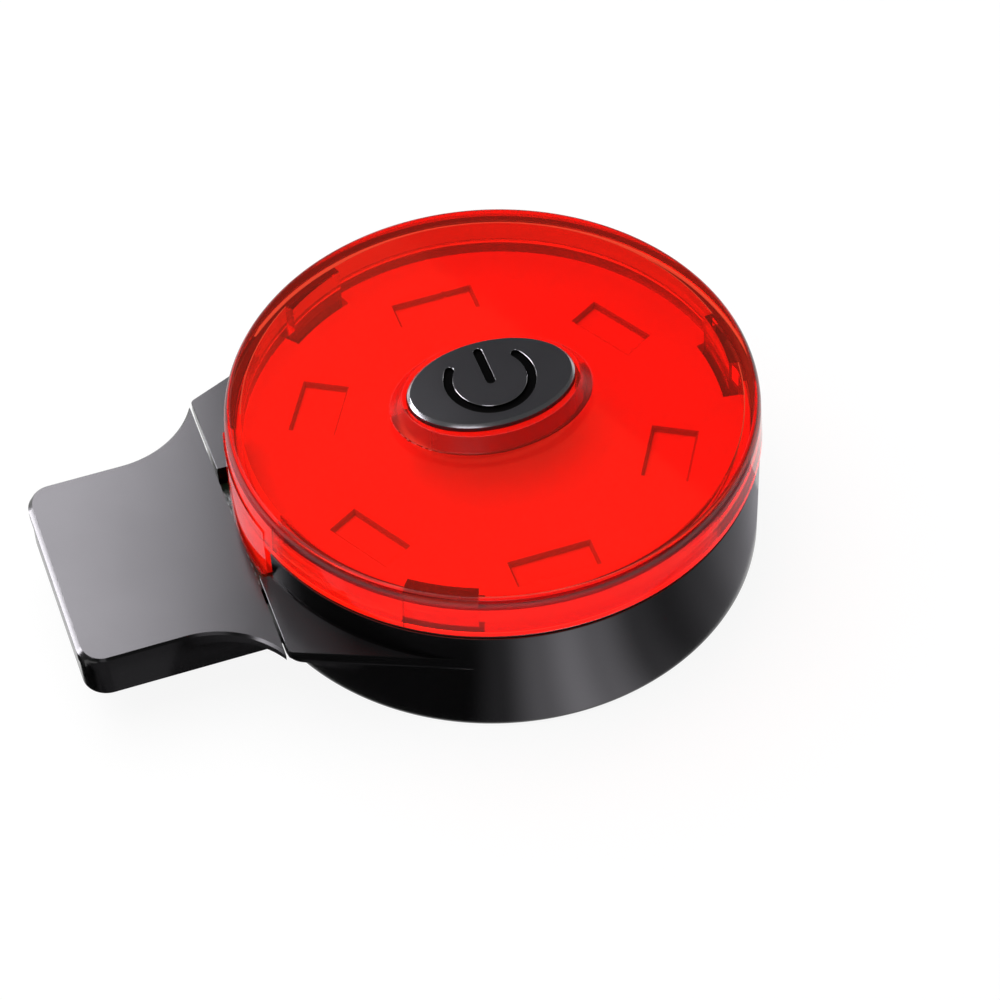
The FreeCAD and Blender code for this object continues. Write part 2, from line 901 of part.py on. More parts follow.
def main():
    os.makedirs("parts", exist_ok=True)
    save("housing", [make_housing()])
    save("battery_pad", [make_battery_pad()])
    save("battery_cell", [make_battery_cell()])
    save("cell_protector", [make_cell_protector()])
    save("lead_positive", [make_lead(1)])
    save("lead_negative", [make_lead(-1)])
    save("circuit_board", [make_circuit_board()])
    save("plug_contacts", make_plug_contacts())
    save("board_screws", make_board_screws())
    save("led_bodies", make_led_bodies())
    save("led_lenses", make_led_lenses())
    save("resistors", make_resistors())
    save("capacitors", make_capacitors())
    save("control_chip", [make_control_chip()])
    save("charge_chip", [make_charge_chip()])
    save("drive_transistor", [make_drive_transistor()])
    save("chip_legs", make_chip_legs())
    save("switch_body", [make_switch_body()])
    save("switch_cover", [make_switch_cover()])
    save("switch_plunger", [make_switch_plunger()])
    save("button_seal", [make_button_seal()])
    save("reflector_disc", [make_reflector_disc()])
    save("rim_gasket", [make_rim_gasket()])
    save("lens", [make_lens()])
    save("button_cap", [make_button_cap()])
    save("cap_top", [make_cap_top()])
    save("cap_base", [make_cap_base()])
    save("cap_liner", [make_cap_liner()])


main()
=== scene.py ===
import bmesh
import bpy
import math

from mathutils import Matrix, Vector


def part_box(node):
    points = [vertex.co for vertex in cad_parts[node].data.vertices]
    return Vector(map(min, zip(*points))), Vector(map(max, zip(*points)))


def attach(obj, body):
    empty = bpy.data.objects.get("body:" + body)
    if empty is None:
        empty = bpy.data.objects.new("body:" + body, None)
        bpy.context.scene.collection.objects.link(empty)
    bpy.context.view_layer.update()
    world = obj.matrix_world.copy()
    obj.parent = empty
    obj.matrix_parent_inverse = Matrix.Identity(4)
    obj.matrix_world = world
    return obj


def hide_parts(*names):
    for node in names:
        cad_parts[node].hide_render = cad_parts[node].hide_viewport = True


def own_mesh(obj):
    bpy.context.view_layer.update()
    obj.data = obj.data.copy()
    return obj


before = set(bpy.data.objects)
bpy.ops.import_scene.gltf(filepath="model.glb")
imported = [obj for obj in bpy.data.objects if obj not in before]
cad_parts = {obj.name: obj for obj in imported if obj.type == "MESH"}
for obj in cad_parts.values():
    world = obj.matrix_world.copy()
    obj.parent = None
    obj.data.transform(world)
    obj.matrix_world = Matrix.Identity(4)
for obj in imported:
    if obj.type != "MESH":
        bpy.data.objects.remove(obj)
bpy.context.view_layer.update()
mm = 0.001

# Housing: the black cup that holds everything, moulded in one piece from glossy plastic. The neck's
# two ears, the plug's boss, two screw posts and three catches for the lens's lugs are part of it. The
# ears lie a little higher than the frame's neck, where the photograph shows them.


def reach(node):
    """A node's lowest and highest corners, in millimetres."""
    low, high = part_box(node)
    return Vector(low) / mm, Vector(high) / mm


def filled_object(name, points, faces):
    """A closed piece from points in millimetres, with its faces turned outwards."""
    made = bpy.data.objects.new(name, bpy.data.meshes.new(name))
    bpy.context.scene.collection.objects.link(made)
    made.data.from_pydata([Vector(point) * mm for point in points], [], faces)
    mesh = bmesh.new()
    mesh.from_mesh(made.data)
    bmesh.ops.remove_doubles(mesh, verts=mesh.verts, dist=0.0005 * mm)
    bmesh.ops.recalc_face_normals(mesh, faces=mesh.faces)
    mesh.to_mesh(made.data)
    mesh.free()
    return made


def bend(centre, radius, first, last, steps):
    """Points along an arc, from one angle to another in degrees."""
    turns = [math.radians(first + (last - first) * step / steps) for step in range(steps + 1)]
    return [(centre[0] + radius * math.cos(turn), centre[1] + radius * math.sin(turn)) for turn in turns]


def turned_object(name, profile, steps, width=360.0, middle=0.0):
    """A profile of (radius, height) points turned round the light's axis, whole or as a sector."""
    closed = width > 359.0
    count = steps if closed else steps + 1
    points = []
    for step in range(count):
        turn = math.radians(middle - width / 2 + width * step / steps)
        points += [(radius * math.cos(turn), radius * math.sin(turn), height) for radius, height in profile]
    size = len(profile)
    faces = []
    for step in range(steps):
        here = step * size
        there = (step + 1) % count * size
        for index in range(size):
            following = (index + 1) % size
            on_axis = [profile[index][0] == 0, profile[following][0] == 0]
            if all(on_axis):
                continue
            corners = [here + index, there + index, there + following, here + following]
            if on_axis[0]:
                corners = [here + index, there + following, here + following]
            if on_axis[1]:
                corners = [here + index, there + index, here + following]
            faces.append(corners)
    if not closed:
        faces.append(list(range(size)))
        faces.append([steps * size + index for index in reversed(range(size))])
    return filled_object(name, points, faces)


def inward(outline, amount):
    """An outline's points moved to its inner side by an amount."""
    moved = []
    for index, (x, y) in enumerate(outline):
        here = Vector((x, y))
        first = (here - Vector(outline[index - 1])).normalized()
        second = (Vector(outline[(index + 1) % len(outline)]) - here).normalized()
        sides = Vector((-first.y, first.x)) + Vector((-second.y, second.x))
        moved.append(tuple(here + sides * amount / (1 + first.dot(second))))
    return moved


def stacked(name, layers):
    """A solid from outlines of equal length, each with its height."""
    size = len(layers[0][0])
    points = [(x, y, height) for outline, height in layers for x, y in outline]
    faces = [list(reversed(range(size)))]
    for layer in range(len(layers) - 1):
        for index in range(size):
            following = (index + 1) % size
            faces.append([layer * size + index, layer * size + following,
                          (layer + 1) * size + following, (layer + 1) * size + index])
    faces.append([(len(layers) - 1) * size + index for index in range(size)])
    return filled_object(name, points, faces)


def slab(name, outline, rings):
    """A plate from one outline: each ring is how far inward it lies, and its height."""
    return stacked(name, [(inward(outline, amount), height) for amount, height in rings])


def box_outline(x_low, x_high, y_low, y_high):
    return [(x_low, y_low), (x_high, y_low), (x_high, y_high), (x_low, y_high)]


def move(piece, x=0.0, y=0.0, z=0.0, turn=0.0):
    """Turns a piece's mesh round the light's axis and shifts it, with the object left at the origin."""
    shift = Matrix.Translation(Vector((x, y, z)) * mm)
    piece.data.transform(Matrix.Rotation(math.radians(turn), 4, "Z") @ shift)
    return piece


def settle(piece):
    """Makes what the modifiers give into the piece's own plain mesh."""
    bpy.context.view_layer.update()
    graph = bpy.context.evaluated_depsgraph_get()
    made = bpy.data.meshes.new_from_object(piece.evaluated_get(graph))
    old = piece.data
    piece.modifiers.clear()
    piece.data = made
    made.name = piece.name
    bpy.data.meshes.remove(old)


def combine(piece, tool, operation):
    """Joins a tool's solid to the piece, or cuts it away."""
    change = piece.modifiers.new("Combine", "BOOLEAN")
    change.operation = operation
    change.solver = "EXACT"
    change.object = tool
    settle(piece)
    bpy.data.objects.remove(tool)


def polish(piece, sharp_angle=32.0):
    """Shades curved faces smoothly and keeps edges crisp."""
    piece.data.shade_smooth()
    piece.data.set_sharp_from_angle(angle=math.radians(sharp_angle))
    weights = piece.modifiers.new("Weights", "WEIGHTED_NORMAL")
    weights.keep_sharp = True
    settle(piece)


def tree_sockets(tree, inputs, outputs):
    for label, kind in inputs:
        tree.interface.new_socket(label, in_out="INPUT", socket_type=kind)
    for label, kind in outputs:
        tree.interface.new_socket(label, in_out="OUTPUT", socket_type=kind)


def end_tree(tree, start, made):
    """Every tree ends alike: real copies, one material, out."""
    real = tree.nodes.new("GeometryNodeRealizeInstances")
    paint = tree.nodes.new("GeometryNodeSetMaterial")
    end = tree.nodes.new("NodeGroupOutput")
    tree.links.new(made, real.inputs["Geometry"])
    tree.links.new(real.outputs["Geometry"], paint.inputs["Geometry"])
    tree.links.new(start.outputs["Material"], paint.inputs["Material"])
    tree.links.new(paint.outputs["Geometry"], end.inputs["Geometry"])


# Ring of copies: lamps, pockets, lugs, screws and posts all stand evenly round the light's axis, so
# one tree sets them out by a count and a first angle.
ring_tree = bpy.data.node_groups.new("Ring of copies", "GeometryNodeTree")
tree_sockets(ring_tree, (("Geometry", "NodeSocketGeometry"), ("Count", "NodeSocketInt"),
                         ("First angle", "NodeSocketFloat"), ("Material", "NodeSocketMaterial")),
             (("Geometry", "NodeSocketGeometry"),))
start = ring_tree.nodes.new("NodeGroupInput")
number = ring_tree.nodes.new("GeometryNodeInputIndex")
share = ring_tree.nodes.new("ShaderNodeMath")
share.operation = "DIVIDE"
turn = ring_tree.nodes.new("ShaderNodeMath")
turn.operation = "MULTIPLY_ADD"
turn.inputs[1].default_value = 2 * math.pi
spin = ring_tree.nodes.new("FunctionNodeAxisAngleToRotation")
spin.inputs["Axis"].default_value = (0, 0, 1)
places = ring_tree.nodes.new("GeometryNodePoints")
copies = ring_tree.nodes.new("GeometryNodeInstanceOnPoints")
links = ring_tree.links
links.new(start.outputs["Count"], places.inputs["Count"])
links.new(number.outputs["Index"], share.inputs[0])
links.new(start.outputs["Count"], share.inputs[1])
links.new(share.outputs["Value"], turn.inputs[0])
links.new(start.outputs["First angle"], turn.inputs[2])
links.new(turn.outputs["Value"], spin.inputs["Angle"])
links.new(places.outputs["Points"], copies.inputs["Points"])
links.new(start.outputs["Geometry"], copies.inputs["Instance"])
links.new(spin.outputs["Rotation"], copies.inputs["Rotation"])
end_tree(ring_tree, start, copies.outputs["Instances"])


def apply_tree(piece, tree, values):
    """Runs a Geometry Nodes tree on a piece and keeps the result as its mesh."""
    change = piece.modifiers.new(tree.name, "NODES")
    change.node_group = tree
    for item in tree.interface.items_tree:
        if item.in_out == "INPUT" and item.name in values:
            change[item.identifier] = values[item.name]
    settle(piece)
    return piece


def ring_of(piece, count, first_angle=0.0, material=None):
    return apply_tree(piece, ring_tree, {"Count": count, "First angle": math.radians(first_angle),
                                         "Material": material})


# Mould finish: what every moulded piece here shows close up. The colour drifts a little, the gloss
# is uneven in soft clouds, and the surface has a very fine grain.
mould_finish = bpy.data.node_groups.new("Mould finish", "ShaderNodeTree")
tree_sockets(mould_finish, (("Colour", "NodeSocketColor"), ("Worn colour", "NodeSocketColor"),
                            ("Cloud scale", "NodeSocketFloat"), ("Grain scale", "NodeSocketFloat"),
                            ("Roughness low", "NodeSocketFloat"), ("Roughness high", "NodeSocketFloat")),
             (("Colour", "NodeSocketColor"), ("Roughness", "NodeSocketFloat"), ("Height", "NodeSocketFloat")))
start = mould_finish.nodes.new("NodeGroupInput")
end = mould_finish.nodes.new("NodeGroupOutput")
place = mould_finish.nodes.new("ShaderNodeTexCoord")
clouds = mould_finish.nodes.new("ShaderNodeTexNoise")
clouds.inputs["Detail"].default_value = 4.0
grain = mould_finish.nodes.new("ShaderNodeTexNoise")
gloss = mould_finish.nodes.new("ShaderNodeMapRange")
gloss.inputs["From Min"].default_value = 0.35
gloss.inputs["From Max"].default_value = 0.65
drift = mould_finish.nodes.new("ShaderNodeMix")
drift.data_type = "RGBA"
links = mould_finish.links
links.new(place.outputs["Object"], clouds.inputs["Vector"])
links.new(place.outputs["Object"], grain.inputs["Vector"])
links.new(start.outputs["Cloud scale"], clouds.inputs["Scale"])
links.new(start.outputs["Grain scale"], grain.inputs["Scale"])
links.new(clouds.outputs["Fac"], gloss.inputs["Value"])
links.new(start.outputs["Roughness low"], gloss.inputs["To Min"])
links.new(start.outputs["Roughness high"], gloss.inputs["To Max"])
links.new(clouds.outputs["Fac"], drift.inputs["Factor"])
links.new(start.outputs["Colour"], drift.inputs["A"])
links.new(start.outputs["Worn colour"], drift.inputs["B"])
links.new(drift.outputs["Result"], end.inputs["Colour"])
links.new(gloss.outputs["Result"], end.inputs["Roughness"])
links.new(grain.outputs["Fac"], end.inputs["Height"])


def finished(name, group, colour, worn, roughness, grain_height, scales, settings=()):
    """A material whose Principled BSDF is fed by one of the finish groups."""
    material = bpy.data.materials.new(name)
    material.use_nodes = True
    nodes = material.node_tree.nodes
    links = material.node_tree.links
    surface = nodes["Principled BSDF"]
    finish = nodes.new("ShaderNodeGroup")
    finish.name = "Finish"
    finish.node_tree = group
    finish.inputs[0].default_value = (*colour, 1)
    finish.inputs[1].default_value = (*worn, 1)
    finish.inputs[2].default_value = scales[0]
    finish.inputs[3].default_value = scales[1]
    finish.inputs["Roughness low"].default_value = roughness[0]
    finish.inputs["Roughness high"].default_value = roughness[1]
    links.new(finish.outputs["Colour"], surface.inputs["Base Color"])
    links.new(finish.outputs["Roughness"], surface.inputs["Roughness"])
    if grain_height > 0:
        bump = nodes.new("ShaderNodeBump")
        bump.inputs["Distance"].default_value = grain_height * mm
        links.new(finish.outputs["Height"], bump.inputs["Height"])
        links.new(bump.outputs["Normal"], surface.inputs["Normal"])
    for label, value in settings:
        surface.inputs[label].default_value = value
    return material


def moulded(name, colour, worn, roughness, grain_height=0.002, scales=(90.0, 2500.0), settings=()):
    return finished(name, mould_finish, colour, worn, roughness, grain_height, scales, settings)


def dress(piece, material, body, slot, *nodes):
    """Gives a finished piece its material, hangs it under its body's empty and hides the nodes it stands for.
    """
    piece.data.materials.clear()
    piece.data.materials.append(material)
    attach(piece, body)
    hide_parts(*nodes)


def coat(node, material):
    """Gives a node that keeps its own mesh a finished material."""
    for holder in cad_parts[node].material_slots:
        holder.material = material


housing_low, housing_high = reach("housing")
board_low = reach("circuit_board")[0]
rim_radius = housing_high.x
rim_height = housing_high.z
seam_x = housing_low.x
foot_radius = rim_radius - 0.05
foot_round = 0.6
rim_edge = 0.05
lip_radius = 21.1
ledge_height = 9.55
bore_radius = 20.15
cup_floor = 1.2
floor_bevel = 0.3
neck_low = 6.94
neck_high = 8.24
neck_angle = math.radians(23.3)
neck_corner = 0.45
neck_edge = 0.05
neck_lip = 0.06
neck_relief = 1.7
ear_low = 7.4
ear_high = 8.59
relief_height = 0.4
boss_half = 9.68
boss_low = 3.8
boss_bevel = 0.4
slot_half = 6.25
slot_low = board_low.z - 0.05
lug_across = 5.7
lug_circle = 19.7
catch_side_room = 2.6
catch_low = ledge_height - 0.55
catch_foot = 7.74
catch_reach = 21.03
catch_mouth = 20.48
post_circle = 16.5
post_radius = 1.75
post_hole = 0.8
post_hole_low = 1.8
past = 1.0
turn_steps = 288

black_gloss = moulded("Black gloss plastic", (0.002, 0.002, 0.0022), (0.003, 0.003, 0.0033), (0.18, 0.22),
                      grain_height=0.0004)

cup_profile = [(0, 0)]
cup_profile += bend((foot_radius - foot_round, foot_round), foot_round, -90, 0, 7)
cup_profile += bend((rim_radius - rim_edge, rim_height - rim_edge), rim_edge, 0, 90, 2)
cup_profile += bend((lip_radius + rim_edge, rim_height - rim_edge), rim_edge, 90, 180, 2)
cup_profile += [(lip_radius, ledge_height), (bore_radius, ledge_height)]
cup_profile += [(bore_radius, cup_floor + floor_bevel), (bore_radius - floor_bevel, cup_floor)]
cup_profile += [(0, cup_floor)]
housing = turned_object("housing_shell", cup_profile, turn_steps)

touch = (-(rim_radius - 0.004) * math.sin(neck_angle), (rim_radius - 0.004) * math.cos(neck_angle))
neck_half = touch[1] - (touch[0] - seam_x) * math.tan(neck_angle)


def neck_outline(corner, lip):
    """The neck from above: two sides that leave the wall at a tangent, and a corner at the seam."""
    run = Vector((seam_x - touch[0], neck_half - touch[1])).normalized()
    start = Vector((seam_x, neck_half)) - run * corner * math.tan(math.radians(45) - neck_angle / 2)
    centre = start + Vector((-run.y, run.x)) * corner
    first = math.degrees(math.atan2(start.y - centre.y, start.x - centre.x))
    side = [(touch[0], touch[1])]
    for x, y in [start - run * 2.0, start - run * 0.5] + bend(centre, corner, first, 180, 10):
        side.append((x, y + lip if x > seam_x + 1.2 else y))
    return [(x, -y) for x, y in reversed(side)] + side


neck = stacked("neck", [
    (neck_outline(neck_relief, 0), ear_low),
    (neck_outline(neck_relief - 0.1, neck_lip), ear_low + 0.05),
    (neck_outline(neck_relief - 0.2, neck_lip), ear_low + 0.12),
    (neck_outline(neck_relief - 0.3, 0), ear_low + 0.2),
    (neck_outline(neck_corner, 0), ear_low + relief_height),
    (neck_outline(neck_corner, 0), ear_high - neck_edge),
    (inward(neck_outline(neck_corner, 0), neck_edge * 0.7), ear_high),
])
boss_rings = [(boss_bevel, boss_low), (0.12, boss_low + 0.12), (0, boss_low + boss_bevel), (0, ear_low + 0.1)]
boss = slab("boss", box_outline(seam_x, -10, -boss_half, boss_half), boss_rings)
combine(neck, boss, "UNION")
neck_inner = rim_radius - 0.85
inside = [(0, 0), (neck_inner, 0), (neck_inner, rim_height + past), (0, rim_height + past)]
combine(neck, turned_object("inside", inside, 96), "DIFFERENCE")
combine(housing, neck, "UNION")
notch_outline = box_outline(seam_x - past, -10, -slot_half, slot_half)
combine(housing, slab("notch", notch_outline, [(0, slot_low), (0, rim_height + past)]), "DIFFERENCE")

catch_profile = [(bore_radius - past, catch_foot), (catch_reach, catch_foot), (catch_reach, catch_low),
                 (catch_mouth, catch_low), (catch_mouth, ledge_height + past),
                 (bore_radius - past, ledge_height + past)]
catch_width = math.degrees((lug_across + catch_side_room) / lug_circle)
catches = ring_of(turned_object("catches", catch_profile, 12, catch_width), 3)
combine(housing, catches, "DIFFERENCE")
post_profile = [(0, cup_floor - 0.3), (post_radius, cup_floor - 0.3), (post_radius, board_low.z),
                (post_hole + 0.1, board_low.z), (post_hole, board_low.z - 0.1), (post_hole, post_hole_low),
                (0, post_hole_low)]
posts = ring_of(move(turned_object("posts", post_profile, 48), x=post_circle), 2, 60.0)
combine(housing, posts, "UNION")
polish(housing)
dress(housing, black_gloss, "light", "black_casing", "housing")

# Cell: a flat lithium pouch on a pad of foam tape, with the protection strip across its end. The
# pouch is aluminium laminate, the pad is grey foam, and the strip is wrapped in amber film.
foil_pouch = moulded("Foil pouch", (0.62, 0.62, 0.64), (0.5, 0.5, 0.52), (0.28, 0.45), 0.03, (220.0, 420.0),
                     (("Metallic", 1.0),))
grey_foam = moulded("Grey foam tape", (0.2, 0.2, 0.21), (0.12, 0.12, 0.125), (0.85, 0.95), 0.08,
                    (300.0, 1800.0))
amber_film = moulded("Amber film", (0.5, 0.19, 0.015), (0.34, 0.11, 0.01), (0.2, 0.35), 0.004, (260.0, 900.0),
                     (("Coat Weight", 0.4),))
coat("battery_pad", grey_foam)
coat("battery_cell", foil_pouch)
coat("cell_protector", amber_film)

# Leads: two insulated wires from the strip to the underside of the board, one red and one black. Each
# leaves the strip level, bends up twice and is soldered at its end.
lead_radius = 0.35
lead_y = 3.4
lead_bend = 0.8
lead_height = 2.8
lead_run = 1.4
lead_rise = 1.3
strip_end = reach("cell_protector")[1].x

wire_tree = bpy.data.node_groups.new("Wire along its route", "GeometryNodeTree")
tree_sockets(wire_tree, (("Geometry", "NodeSocketGeometry"), ("Bend radius", "NodeSocketFloat"),
                         ("Wire radius", "NodeSocketFloat"), ("Material", "NodeSocketMaterial")),
             (("Geometry", "NodeSocketGeometry"),))
start = wire_tree.nodes.new("NodeGroupInput")
route = wire_tree.nodes.new("GeometryNodeMeshToCurve")
rounded = wire_tree.nodes.new("GeometryNodeFilletCurve")
rounded.mode = "POLY"
rounded.inputs["Count"].default_value = 8
section = wire_tree.nodes.new("GeometryNodeCurvePrimitiveCircle")
section.inputs["Resolution"].default_value = 24
wire = wire_tree.nodes.new("GeometryNodeCurveToMesh")
wire.inputs["Fill Caps"].default_value = True
links = wire_tree.links
links.new(start.outputs["Geometry"], route.inputs["Mesh"])
links.new(route.outputs["Curve"], rounded.inputs["Curve"])
links.new(start.outputs["Bend radius"], rounded.inputs["Radius"])
links.new(start.outputs["Wire radius"], section.inputs["Radius"])
links.new(rounded.outputs["Curve"], wire.inputs["Curve"])
links.new(section.outputs["Curve"], wire.inputs["Profile Curve"])
end_tree(wire_tree, start, wire.outputs["Mesh"])


def lead(name, side, material, slot, node):
    """A wire from the strip that runs level, slopes up and ends at the board's underside."""
    top_x = strip_end + lead_run + lead_rise
    route = [(strip_end, lead_height), (strip_end + lead_run, lead_height),
             (top_x, lead_height + lead_rise), (top_x, board_low.z)]
    mesh = bpy.data.meshes.new(name)
    mesh.from_pydata([(x * mm, side * lead_y * mm, z * mm) for x, z in route], [(0, 1), (1, 2), (2, 3)], [])
    piece = bpy.data.objects.new(name, mesh)
    bpy.context.scene.collection.objects.link(piece)
    apply_tree(piece, wire_tree, {"Bend radius": lead_bend * mm, "Wire radius": lead_radius * mm,
                                  "Material": material})
    polish(piece, 50.0)
    dress(piece, material, "light", slot, node)


red_wire = moulded("Red wire", (0.45, 0.012, 0.008), (0.36, 0.01, 0.008), (0.35, 0.5), scales=(300.0, 3000.0))
black_wire = moulded("Black wire", (0.012, 0.012, 0.012), (0.02, 0.02, 0.02), (0.35, 0.5),
                     scales=(300.0, 3000.0))
lead("lead_red", 1, red_wire, "red_wire", "lead_positive")
lead("lead_black", -1, black_wire, "black_wire", "lead_negative")

# Circuit board: one sheet of glass fibre under dark lacquer, round where it lies on the posts and
# 12 mm wide where it runs out of the cup as the plug. Its cut edges show the bare sheet.
board_lacquer = moulded("Dark board lacquer", (0.004, 0.02, 0.009), (0.007, 0.032, 0.014), (0.18, 0.28), 0.0,
                        (420.0, 1500.0))
nodes = board_lacquer.node_tree.nodes
links = board_lacquer.node_tree.links
surface = nodes["Principled BSDF"]
facing = nodes.new("ShaderNodeNewGeometry")
split = nodes.new("ShaderNodeSeparateXYZ")
flatness = nodes.new("ShaderNodeMath")
flatness.operation = "ABSOLUTE"
edge_mask = nodes.new("ShaderNodeMath")
edge_mask.operation = "LESS_THAN"
edge_mask.inputs[1].default_value = 0.4
edge_colour = nodes.new("ShaderNodeMix")
edge_colour.data_type = "RGBA"
edge_colour.inputs["B"].default_value = (0.09, 0.1, 0.045, 1)
place = nodes.new("ShaderNodeTexCoord")
weave = nodes.new("ShaderNodeTexBrick")
weave.inputs["Scale"].default_value = 1000.0
weave.inputs["Mortar Size"].default_value = 0.12
weave.inputs["Mortar Smooth"].default_value = 0.8
weave.inputs["Brick Width"].default_value = 0.5
weave.inputs["Row Height"].default_value = 0.5
bump = nodes.new("ShaderNodeBump")
bump.inputs["Distance"].default_value = 0.006 * mm
bump.invert = True
links.new(facing.outputs["Normal"], split.inputs[0])
links.new(split.outputs["Z"], flatness.inputs[0])
links.new(flatness.outputs["Value"], edge_mask.inputs[0])
links.new(edge_mask.outputs["Value"], edge_colour.inputs["Factor"])
links.new(nodes["Finish"].outputs["Colour"], edge_colour.inputs["A"])
links.new(edge_colour.outputs["Result"], surface.inputs["Base Color"])
links.new(place.outputs["Object"], weave.inputs["Vector"])
links.new(weave.outputs["Fac"], bump.inputs["Height"])
links.new(bump.outputs["Normal"], surface.inputs["Normal"])
coat("circuit_board", board_lacquer)

# Metal finish: drawn or plated metal, as on the contacts, screws and legs. It has fine streaks along
# one direction and dull clouds.
metal_finish = bpy.data.node_groups.new("Metal finish", "ShaderNodeTree")
tree_sockets(metal_finish, (("Colour", "NodeSocketColor"), ("Dull colour", "NodeSocketColor"),
                            ("Cloud scale", "NodeSocketFloat"), ("Streak scale", "NodeSocketFloat"),
                            ("Roughness low", "NodeSocketFloat"), ("Roughness high", "NodeSocketFloat")),
             (("Colour", "NodeSocketColor"), ("Roughness", "NodeSocketFloat"), ("Height", "NodeSocketFloat")))
start = metal_finish.nodes.new("NodeGroupInput")
end = metal_finish.nodes.new("NodeGroupOutput")
place = metal_finish.nodes.new("ShaderNodeTexCoord")
stretch = metal_finish.nodes.new("ShaderNodeVectorMath")
stretch.operation = "MULTIPLY"
stretch.inputs[1].default_value = (0.06, 1.0, 1.0)
clouds = metal_finish.nodes.new("ShaderNodeTexNoise")
streaks = metal_finish.nodes.new("ShaderNodeTexNoise")
streaks.inputs["Detail"].default_value = 3.0
gloss = metal_finish.nodes.new("ShaderNodeMapRange")
gloss.inputs["From Min"].default_value = 0.3
gloss.inputs["From Max"].default_value = 0.7
drift = metal_finish.nodes.new("ShaderNodeMix")
drift.data_type = "RGBA"
links = metal_finish.links
links.new(place.outputs["Object"], clouds.inputs["Vector"])
links.new(place.outputs["Object"], stretch.inputs[0])
links.new(stretch.outputs["Vector"], streaks.inputs["Vector"])
links.new(start.outputs["Cloud scale"], clouds.inputs["Scale"])
links.new(start.outputs["Streak scale"], streaks.inputs["Scale"])
links.new(streaks.outputs["Fac"], gloss.inputs["Value"])
links.new(start.outputs["Roughness low"], gloss.inputs["To Min"])
links.new(start.outputs["Roughness high"], gloss.inputs["To Max"])
links.new(clouds.outputs["Fac"], drift.inputs["Factor"])
links.new(start.outputs["Colour"], drift.inputs["A"])
links.new(start.outputs["Dull colour"], drift.inputs["B"])
links.new(drift.outputs["Result"], end.inputs["Colour"])
links.new(gloss.outputs["Result"], end.inputs["Roughness"])
links.new(streaks.outputs["Fac"], end.inputs["Height"])


def metal(name, colour, dull, roughness, grain_height=0.0015, scales=(300.0, 4000.0)):
    return finished(name, metal_finish, colour, dull, roughness, grain_height, scales, (("Metallic", 1.0),))


# Plug contacts: four gold plated copper pads on the lens's side of the plug, the outer two longer,
# set in a row at a standard plug's pitch.
row_tree = bpy.data.node_groups.new("Row of copies", "GeometryNodeTree")
tree_sockets(row_tree, (("Geometry", "NodeSocketGeometry"), ("Count", "NodeSocketInt"),
                        ("Pitch", "NodeSocketVector"), ("Material", "NodeSocketMaterial")),
             (("Geometry", "NodeSocketGeometry"),))
start = row_tree.nodes.new("NodeGroupInput")
number = row_tree.nodes.new("GeometryNodeInputIndex")
last = row_tree.nodes.new("ShaderNodeMath")
last.operation = "SUBTRACT"
last.inputs[1].default_value = 1.0
middle = row_tree.nodes.new("ShaderNodeMath")
middle.operation = "MULTIPLY"
middle.inputs[1].default_value = 0.5
from_middle = row_tree.nodes.new("ShaderNodeMath")
from_middle.operation = "SUBTRACT"
along = row_tree.nodes.new("ShaderNodeVectorMath")
along.operation = "SCALE"
places = row_tree.nodes.new("GeometryNodePoints")
copies = row_tree.nodes.new("GeometryNodeInstanceOnPoints")
links = row_tree.links
links.new(start.outputs["Count"], last.inputs[0])
links.new(last.outputs["Value"], middle.inputs[0])
links.new(number.outputs["Index"], from_middle.inputs[0])
links.new(middle.outputs["Value"], from_middle.inputs[1])
links.new(start.outputs["Pitch"], along.inputs[0])
links.new(from_middle.outputs["Value"], along.inputs["Scale"])
links.new(start.outputs["Count"], places.inputs["Count"])
links.new(along.outputs["Vector"], places.inputs["Position"])
links.new(places.outputs["Points"], copies.inputs["Points"])
links.new(start.outputs["Geometry"], copies.inputs["Instance"])
end_tree(row_tree, start, copies.outputs["Instances"])


def row_of(piece, count, pitch, material):
    return apply_tree(piece, row_tree, {"Count": count, "Pitch": Vector(pitch) * mm, "Material": material})


def gather(name, pieces):
    """Several plain pieces made one."""
    mesh = bmesh.new()
    for piece in pieces:
        mesh.from_mesh(piece.data)
        bpy.data.objects.remove(piece)
    whole = bpy.data.objects.new(name, bpy.data.meshes.new(name))
    mesh.to_mesh(whole.data)
    mesh.free()
    bpy.context.scene.collection.objects.link(whole)
    return whole


gold = metal("Gold plating", (0.86, 0.58, 0.2), (0.74, 0.47, 0.15), (0.18, 0.3))
board_top = 6.9
contact_end = -24.3
contact_half = 0.7
contact_top = board_top + 0.04
contact_pairs = []
for contact_length, apart in ((8.4, 7.0), (7.2, 2.2)):
    contact_sides = box_outline(contact_end - contact_length, contact_end, -contact_half, contact_half)
    contact = slab("contact", contact_sides,
                   [(0, board_top), (0, contact_top - 0.015), (0.03, contact_top)])
    contact_pairs.append(row_of(contact, 2, (0, apart, 0), gold))
contacts = gather("plug_pads", contact_pairs)
polish(contacts)
dress(contacts, gold, "light", "gold_contact", "plug_contacts")

